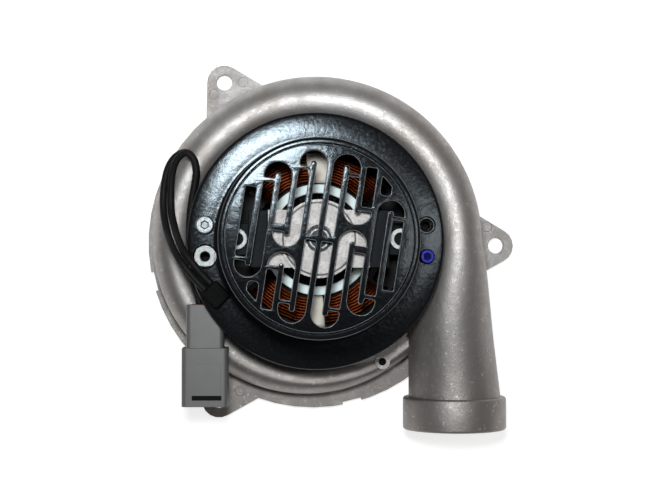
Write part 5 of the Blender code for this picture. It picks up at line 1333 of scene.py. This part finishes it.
def end_tree(tree, geometry, start):
    """Close the tree with real geometry in its Material."""
    real = add_node(tree, "GeometryNodeRealizeInstances", {}, {"Geometry": geometry})
    values = {"Geometry": real.outputs["Geometry"], "Material": start["Material"]}
    painted = add_node(tree, "GeometryNodeSetMaterial", {}, values)
    add_node(tree, "NodeGroupOutput", {}, {"Geometry": painted.outputs["Geometry"]})
    return tree


def winding_tree():
    """Repeats one loop of wire outward from the motor axis and gives it a round section."""
    inputs = (
        ("Wires", "NodeSocketInt"),
        ("Pitch", "NodeSocketFloat"),
        ("Wire Radius", "NodeSocketFloat"),
        ("Axis", "NodeSocketVector"),
        ("Material", "NodeSocketMaterial"),
    )
    tree = tree_with("coil winding", inputs)
    start = add_node(tree, "NodeGroupInput").outputs
    loop = add_node(tree, "GeometryNodeMeshToCurve", {}, {"Mesh": start["Geometry"]})
    values = {"Geometry": loop.outputs["Curve"], "Amount": start["Wires"]}
    copies = add_node(tree, "GeometryNodeDuplicateElements", {"domain": "SPLINE"}, values)
    place = add_node(tree, "GeometryNodeInputPosition")
    values = {0: place.outputs[0], 1: start["Axis"]}
    from_axis = add_node(tree, "ShaderNodeVectorMath", {"operation": "SUBTRACT"}, values)
    values = {0: from_axis.outputs[0], 1: (1.0, 1.0, 0.0)}
    flat = add_node(tree, "ShaderNodeVectorMath", {"operation": "MULTIPLY"}, values)
    outward = add_node(tree, "ShaderNodeVectorMath", {"operation": "NORMALIZE"}, {0: flat.outputs[0]})
    values = {0: copies.outputs["Duplicate Index"], 1: start["Pitch"]}
    step = add_node(tree, "ShaderNodeMath", {"operation": "MULTIPLY"}, values)
    values = {0: outward.outputs[0], "Scale": step.outputs[0]}
    shift = add_node(tree, "ShaderNodeVectorMath", {"operation": "SCALE"}, values)
    values = {"Geometry": copies.outputs["Geometry"], "Offset": shift.outputs[0]}
    moved = add_node(tree, "GeometryNodeSetPosition", {}, values)
    return end_tree(tree, swept_wire(tree, moved.outputs["Geometry"], start), start)


def spring_tree():
    """A coiled spring of round wire standing on the origin."""
    inputs = (
        ("Curls", "NodeSocketFloat"),
        ("Radius", "NodeSocketFloat"),
        ("Height", "NodeSocketFloat"),
        ("Wire Radius", "NodeSocketFloat"),
        ("Turn", "NodeSocketRotation"),
        ("Place", "NodeSocketVector"),
        ("Material", "NodeSocketMaterial"),
    )
    tree = tree_with("brush spring", inputs)
    start = add_node(tree, "NodeGroupInput").outputs
    values = {
        "Resolution": 24,
        "Rotations": start["Curls"],
        "Start Radius": start["Radius"],
        "End Radius": start["Radius"],
        "Height": start["Height"],
    }
    spiral = add_node(tree, "GeometryNodeCurveSpiral", {}, values)
    wire = swept_wire(tree, spiral.outputs["Curve"], start)
    values = {"Geometry": wire, "Translation": start["Place"], "Rotation": start["Turn"]}
    laid = add_node(tree, "GeometryNodeTransform", {}, values)
    return end_tree(tree, laid.outputs["Geometry"], start)


def grow(name, tree, values, mesh=None):
    """Run a tree on a new object and keep what it makes as a plain mesh."""
    piece = bpy.data.objects.new(name, mesh or bpy.data.meshes.new(name))
    bpy.context.scene.collection.objects.link(piece)
    modifier = piece.modifiers.new(tree.name, "NODES")
    modifier.node_group = tree
    sockets = {s.name: s.identifier for s in tree.interface.items_tree if s.in_out == "INPUT"}
    for label, value in values.items():
        modifier[sockets[label]] = value
    bake(piece)
    piece.data.shade_smooth()
    return piece


def wind(node, tree, points, wires, pitch, wire, finish):
    """Wire along the closed run of points, and side by side where there are more wires."""
    count = len(points)
    mesh = bpy.data.meshes.new(node)
    mesh.from_pydata(points, [(i, (i + 1) % count) for i in range(count)], [])
    values = {
        "Wires": wires,
        "Pitch": pitch,
        "Wire Radius": wire / 2,
        "Axis": AXIS,
        "Material": FINISHES[finish],
    }
    return grow(f"{node}_wound", tree, values, mesh)


# Half of a coil's loop as shares of its half angle and half height: one leg, a corner, the head, a corner
COIL_LEG = ((1.0, -0.68), (1.0, 0.0), (1.0, 0.68))
COIL_CORNER = ((0.99, 0.84), (0.97, 0.95), (0.93, 0.99), (0.86, 1.0))
COIL_HEAD = ((0.6, 1.0), (0.3, 1.0), (0.0, 1.0), (-0.3, 1.0), (-0.6, 1.0))
COIL_HALF = (*COIL_LEG, *COIL_CORNER, *COIL_HEAD, *((-a, z) for a, z in reversed(COIL_CORNER)))
COIL_HALF_ANGLE = math.radians(51.5)
COIL_RADIUS = 24.5 * MM
HEAD_STEPS = 12
SPRING_CURLS = 4.0
SPRING_WIRE = 0.5 * MM


class BLOWER_OT_windings(bpy.types.Operator):
    """Wind the field coils, the armature's ends and the brush springs"""

    bl_idname = "blower.windings"
    bl_label = "Windings and springs"

    def execute(self, context):
        w = context.scene.blower_winding
        tree = winding_tree()
        self.coils(tree, w)
        for node in ("armature_winding_front", "armature_winding_rear"):
            settle(self.head(node, tree, w), node, body="rotor")
        tree = spring_tree()
        for name, side in (("left", -1), ("right", 1)):
            self.spring(name, side, tree)
        return {"FINISHED"}

    def coils(self, tree, w):
        """The two field coils, each on its side of the armature."""
        low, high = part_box("field_coil_upper")
        middle, half = (low.z + high.z) / 2, (high.z - low.z) / 2 - w.wire / 2
        loop = COIL_HALF + tuple((-a, -z) for a, z in COIL_HALF)
        for node, facing in (("field_coil_upper", math.pi / 2), ("field_coil_lower", -math.pi / 2)):
            points = []
            for a, z in loop:
                flat = polar(COIL_RADIUS, facing - a * COIL_HALF_ANGLE)
                points.append(Vector((*flat, middle + z * half)) + AXIS)
            settle(wind(node, tree, points, w.wires, w.pitch, w.wire, "copper"), node)

    def head(self, node, tree, w):
        """Wire wrapped over and over round one end of the armature."""
        low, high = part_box(node)
        outer, inner = (high.x - low.x) / 2 - w.head_wire / 2, w.head_bore + w.head_wire / 2
        reach, swell = (outer + inner) / 2, (outer - inner) / 2
        middle, half = (low.z + high.z) / 2, (high.z - low.z) / 2 - w.head_wire / 2
        count = w.head_wraps * HEAD_STEPS
        points = []
        for i in range(count):
            over = math.tau * i / HEAD_STEPS
            flat = polar(reach + swell * math.cos(over), math.tau * i / count)
            points.append(Vector((*flat, middle + half * math.sin(over))) + AXIS)
        return wind(node, tree, points, 1, 0.0, w.head_wire, "varnish")

    def spring(self, name, side, tree):
        """A spring that runs from its near end to its far end beside its brush."""
        low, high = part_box(f"brush_spring_{name}")
        near, far = (low.x, high.x) if side > 0 else (high.x, low.x)
        y, z = (low.y + high.y) / 2, (low.z + high.z) / 2
        thin = SPRING_WIRE / 2
        values = {
            "Curls": SPRING_CURLS,
            "Radius": (high.z - low.z) / 2 - thin,
            "Height": abs(far - near) - SPRING_WIRE,
            "Wire Radius": thin,
            "Turn": (0.0, side * math.pi / 2, 0.0),
            "Place": (near + side * thin, y, z),
            "Material": FINISHES["steel"],
        }
        spring = grow(f"brush_spring_{name}_wound", tree, values)
        settle(spring, f"brush_spring_{name}")
        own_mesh(spring)


def upright_look(eye, aim):
    """The turn of a camera that looks down from eye at aim with the model's Y upright."""
    backward = (eye - aim).normalized()
    right = Vector((0, 1, 0)).cross(backward).normalized()
    turned = Matrix((right, backward.cross(right), backward)).transposed()
    return turned.to_quaternion()

SENSOR_WIDTH = 36
# Place from the motor axis, width and height in metres, and colour of each lamp
LAMPS = {
    "key": ((-0.035, 0.09, 0.7), (0.085, 0.075), (0.95, 0.98, 1.0)),
    "fill": ((0.142, 0.02, 0.7), (0.06, 0.13), (1.0, 0.97, 0.95)),
}
LAMP_TARGET = (0.0, 0.0, 0.05)
FLOOR_REACH = 3.0
FLOOR_LEVEL = -0.3 * MM
FLOOR_GLOW = 0.75
FLOOR_LOOK = {
    "Base Color": (0.5, 0.49, 0.48, 1),
    "Roughness": 0.9,
    "Specular IOR Level": 0.0,
    "Emission Color": (1, 1, 1, 1),
}
WALLS = (0.24, 0.235, 0.23, 1)
CEILING = (0.10, 0.10, 0.10, 1)


class BLOWER_OT_stage(bpy.types.Operator):
    """Set the camera, the lamps and the white floor"""

    bl_idname = "blower.stage"
    bl_label = "Stage"

    def execute(self, context):
        s = context.scene.blower_stage
        camera = bpy.data.objects.new("camera", bpy.data.cameras.new("camera"))
        context.scene.collection.objects.link(camera)
        camera.data.sensor_width = SENSOR_WIDTH
        camera.data.lens = s.lens
        camera.data.clip_start = 0.01
        eye, aim = Vector(s.eye) + AXIS, Vector(s.aim) + AXIS
        camera.location = eye
        camera.rotation_mode = "QUATERNION"
        camera.rotation_quaternion = upright_look(eye, aim)
        context.scene.camera = camera

        self.lamp("key", s.key)
        self.lamp("fill", s.fill)
        self.floor()
        self.world(context)
        context.scene.view_settings.view_transform = "Standard"
        return {"FINISHED"}

    def lamp(self, name, power):
        """A rectangular lamp that looks at the middle of the motor."""
        place, size, tint = LAMPS[name]
        light = bpy.data.lights.new(name, "AREA")
        light.shape = "RECTANGLE"
        light.size, light.size_y = size
        light.energy = power
        light.color = tint
        lamp = bpy.data.objects.new(name, light)
        lamp.location = Vector(place) + AXIS
        lamp.rotation_mode = "QUATERNION"
        lamp.rotation_quaternion = (Vector(LAMP_TARGET) - Vector(place)).to_track_quat("-Z", "Y")
        bpy.context.scene.collection.objects.link(lamp)

    def floor(self):
        """A floor that the camera and reflections see as white, and that keeps the shadow."""
        mesh = bpy.data.meshes.new("floor")
        signs = ((-1, -1), (1, -1), (1, 1), (-1, 1))
        corners = [(x * FLOOR_REACH, y * FLOOR_REACH, FLOOR_LEVEL) for x, y in signs]
        mesh.from_pydata(corners, [], [(0, 1, 2, 3)])
        floor = bpy.data.objects.new("floor", mesh)
        bpy.context.scene.collection.objects.link(floor)
        material = bpy.data.materials.new("white floor")
        material.use_nodes = True
        tree = material.node_tree
        shader = tree.nodes["Principled BSDF"]
        for socket, value in FLOOR_LOOK.items():
            shader.inputs[socket].default_value = value
        path = add_node(tree, "ShaderNodeLightPath").outputs
        seen = path["Is Camera Ray"]
        for ray in ("Is Glossy Ray", "Is Transmission Ray"):
            either = add_node(tree, "ShaderNodeMath", {"operation": "MAXIMUM"}, {0: seen, 1: path[ray]})
            seen = either.outputs[0]
        glow = add_node(tree, "ShaderNodeMath", {"operation": "MULTIPLY"}, {0: seen, 1: FLOOR_GLOW})
        tree.links.new(glow.outputs[0], shader.inputs["Emission Strength"])
        mesh.materials.append(material)

    def world(self, context):
        """A room with pale walls and a dim ceiling."""
        world = bpy.data.worlds.new("studio")
        world.use_nodes = True
        context.scene.world = world
        tree = world.node_tree
        tree.nodes.clear()
        direction = add_node(tree, "ShaderNodeTexCoord").outputs["Generated"]
        upward = add_node(tree, "ShaderNodeSeparateXYZ", {}, {0: direction}).outputs[2]
        values = {"Value": upward, "From Min": 0.15, "From Max": 0.85, "To Min": 0.0, "To Max": 1.0}
        climb = add_node(tree, "ShaderNodeMapRange", {"interpolation_type": "SMOOTHSTEP"}, values)
        values = {0: climb.outputs[0], 6: WALLS, 7: CEILING}
        paint = add_node(tree, "ShaderNodeMix", {"data_type": "RGBA"}, values)
        room = add_node(tree, "ShaderNodeBackground", {}, {"Color": paint.outputs[2]})
        add_node(tree, "ShaderNodeOutputWorld", {}, {0: room.outputs[0]})


SETTINGS = {
    "blower_casting": CastingSettings,
    "blower_cover": CoverSettings,
    "blower_grille": GrilleSettings,
    "blower_lead": LeadSettings,
    "blower_winding": WindingSettings,
    "blower_stage": StageSettings,
}
OPERATORS = (
    BLOWER_OT_stage,
    BLOWER_OT_leads,
    BLOWER_OT_casting,
    BLOWER_OT_cover,
    BLOWER_OT_grille,
    BLOWER_OT_screws,
    BLOWER_OT_motor,
    BLOWER_OT_windings,
)


class BLOWER_PT_panel(bpy.types.Panel):
    """Lists the blower's pieces and their settings"""

    bl_idname = "BLOWER_PT_panel"
    bl_label = "Blower"
    bl_space_type = "VIEW_3D"
    bl_region_type = "UI"
    bl_category = "Blower"

    def draw(self, context):
        for operator in OPERATORS:
            self.layout.operator(operator.bl_idname)
        for name, settings in SETTINGS.items():
            box = self.layout.box()
            for prop in settings.__annotations__:
                box.prop(getattr(context.scene, name), prop)


CLASSES = (*SETTINGS.values(), *OPERATORS, BLOWER_PT_panel)


def register():
    for cls in CLASSES:
        bpy.utils.register_class(cls)
    for name, settings in SETTINGS.items():
        setattr(bpy.types.Scene, name, bpy.props.PointerProperty(type=settings))


def unregister():
    for name in SETTINGS:
        delattr(bpy.types.Scene, name)
    for cls in reversed(CLASSES):
        bpy.utils.unregister_class(cls)


def main():
    register()
    FINISHES.update(make_finishes(bpy.context.scene))
    for operator in OPERATORS:
        group, name = operator.bl_idname.split(".")
        getattr(getattr(bpy.ops, group), name)()


if __name__ == "__main__":
    main()
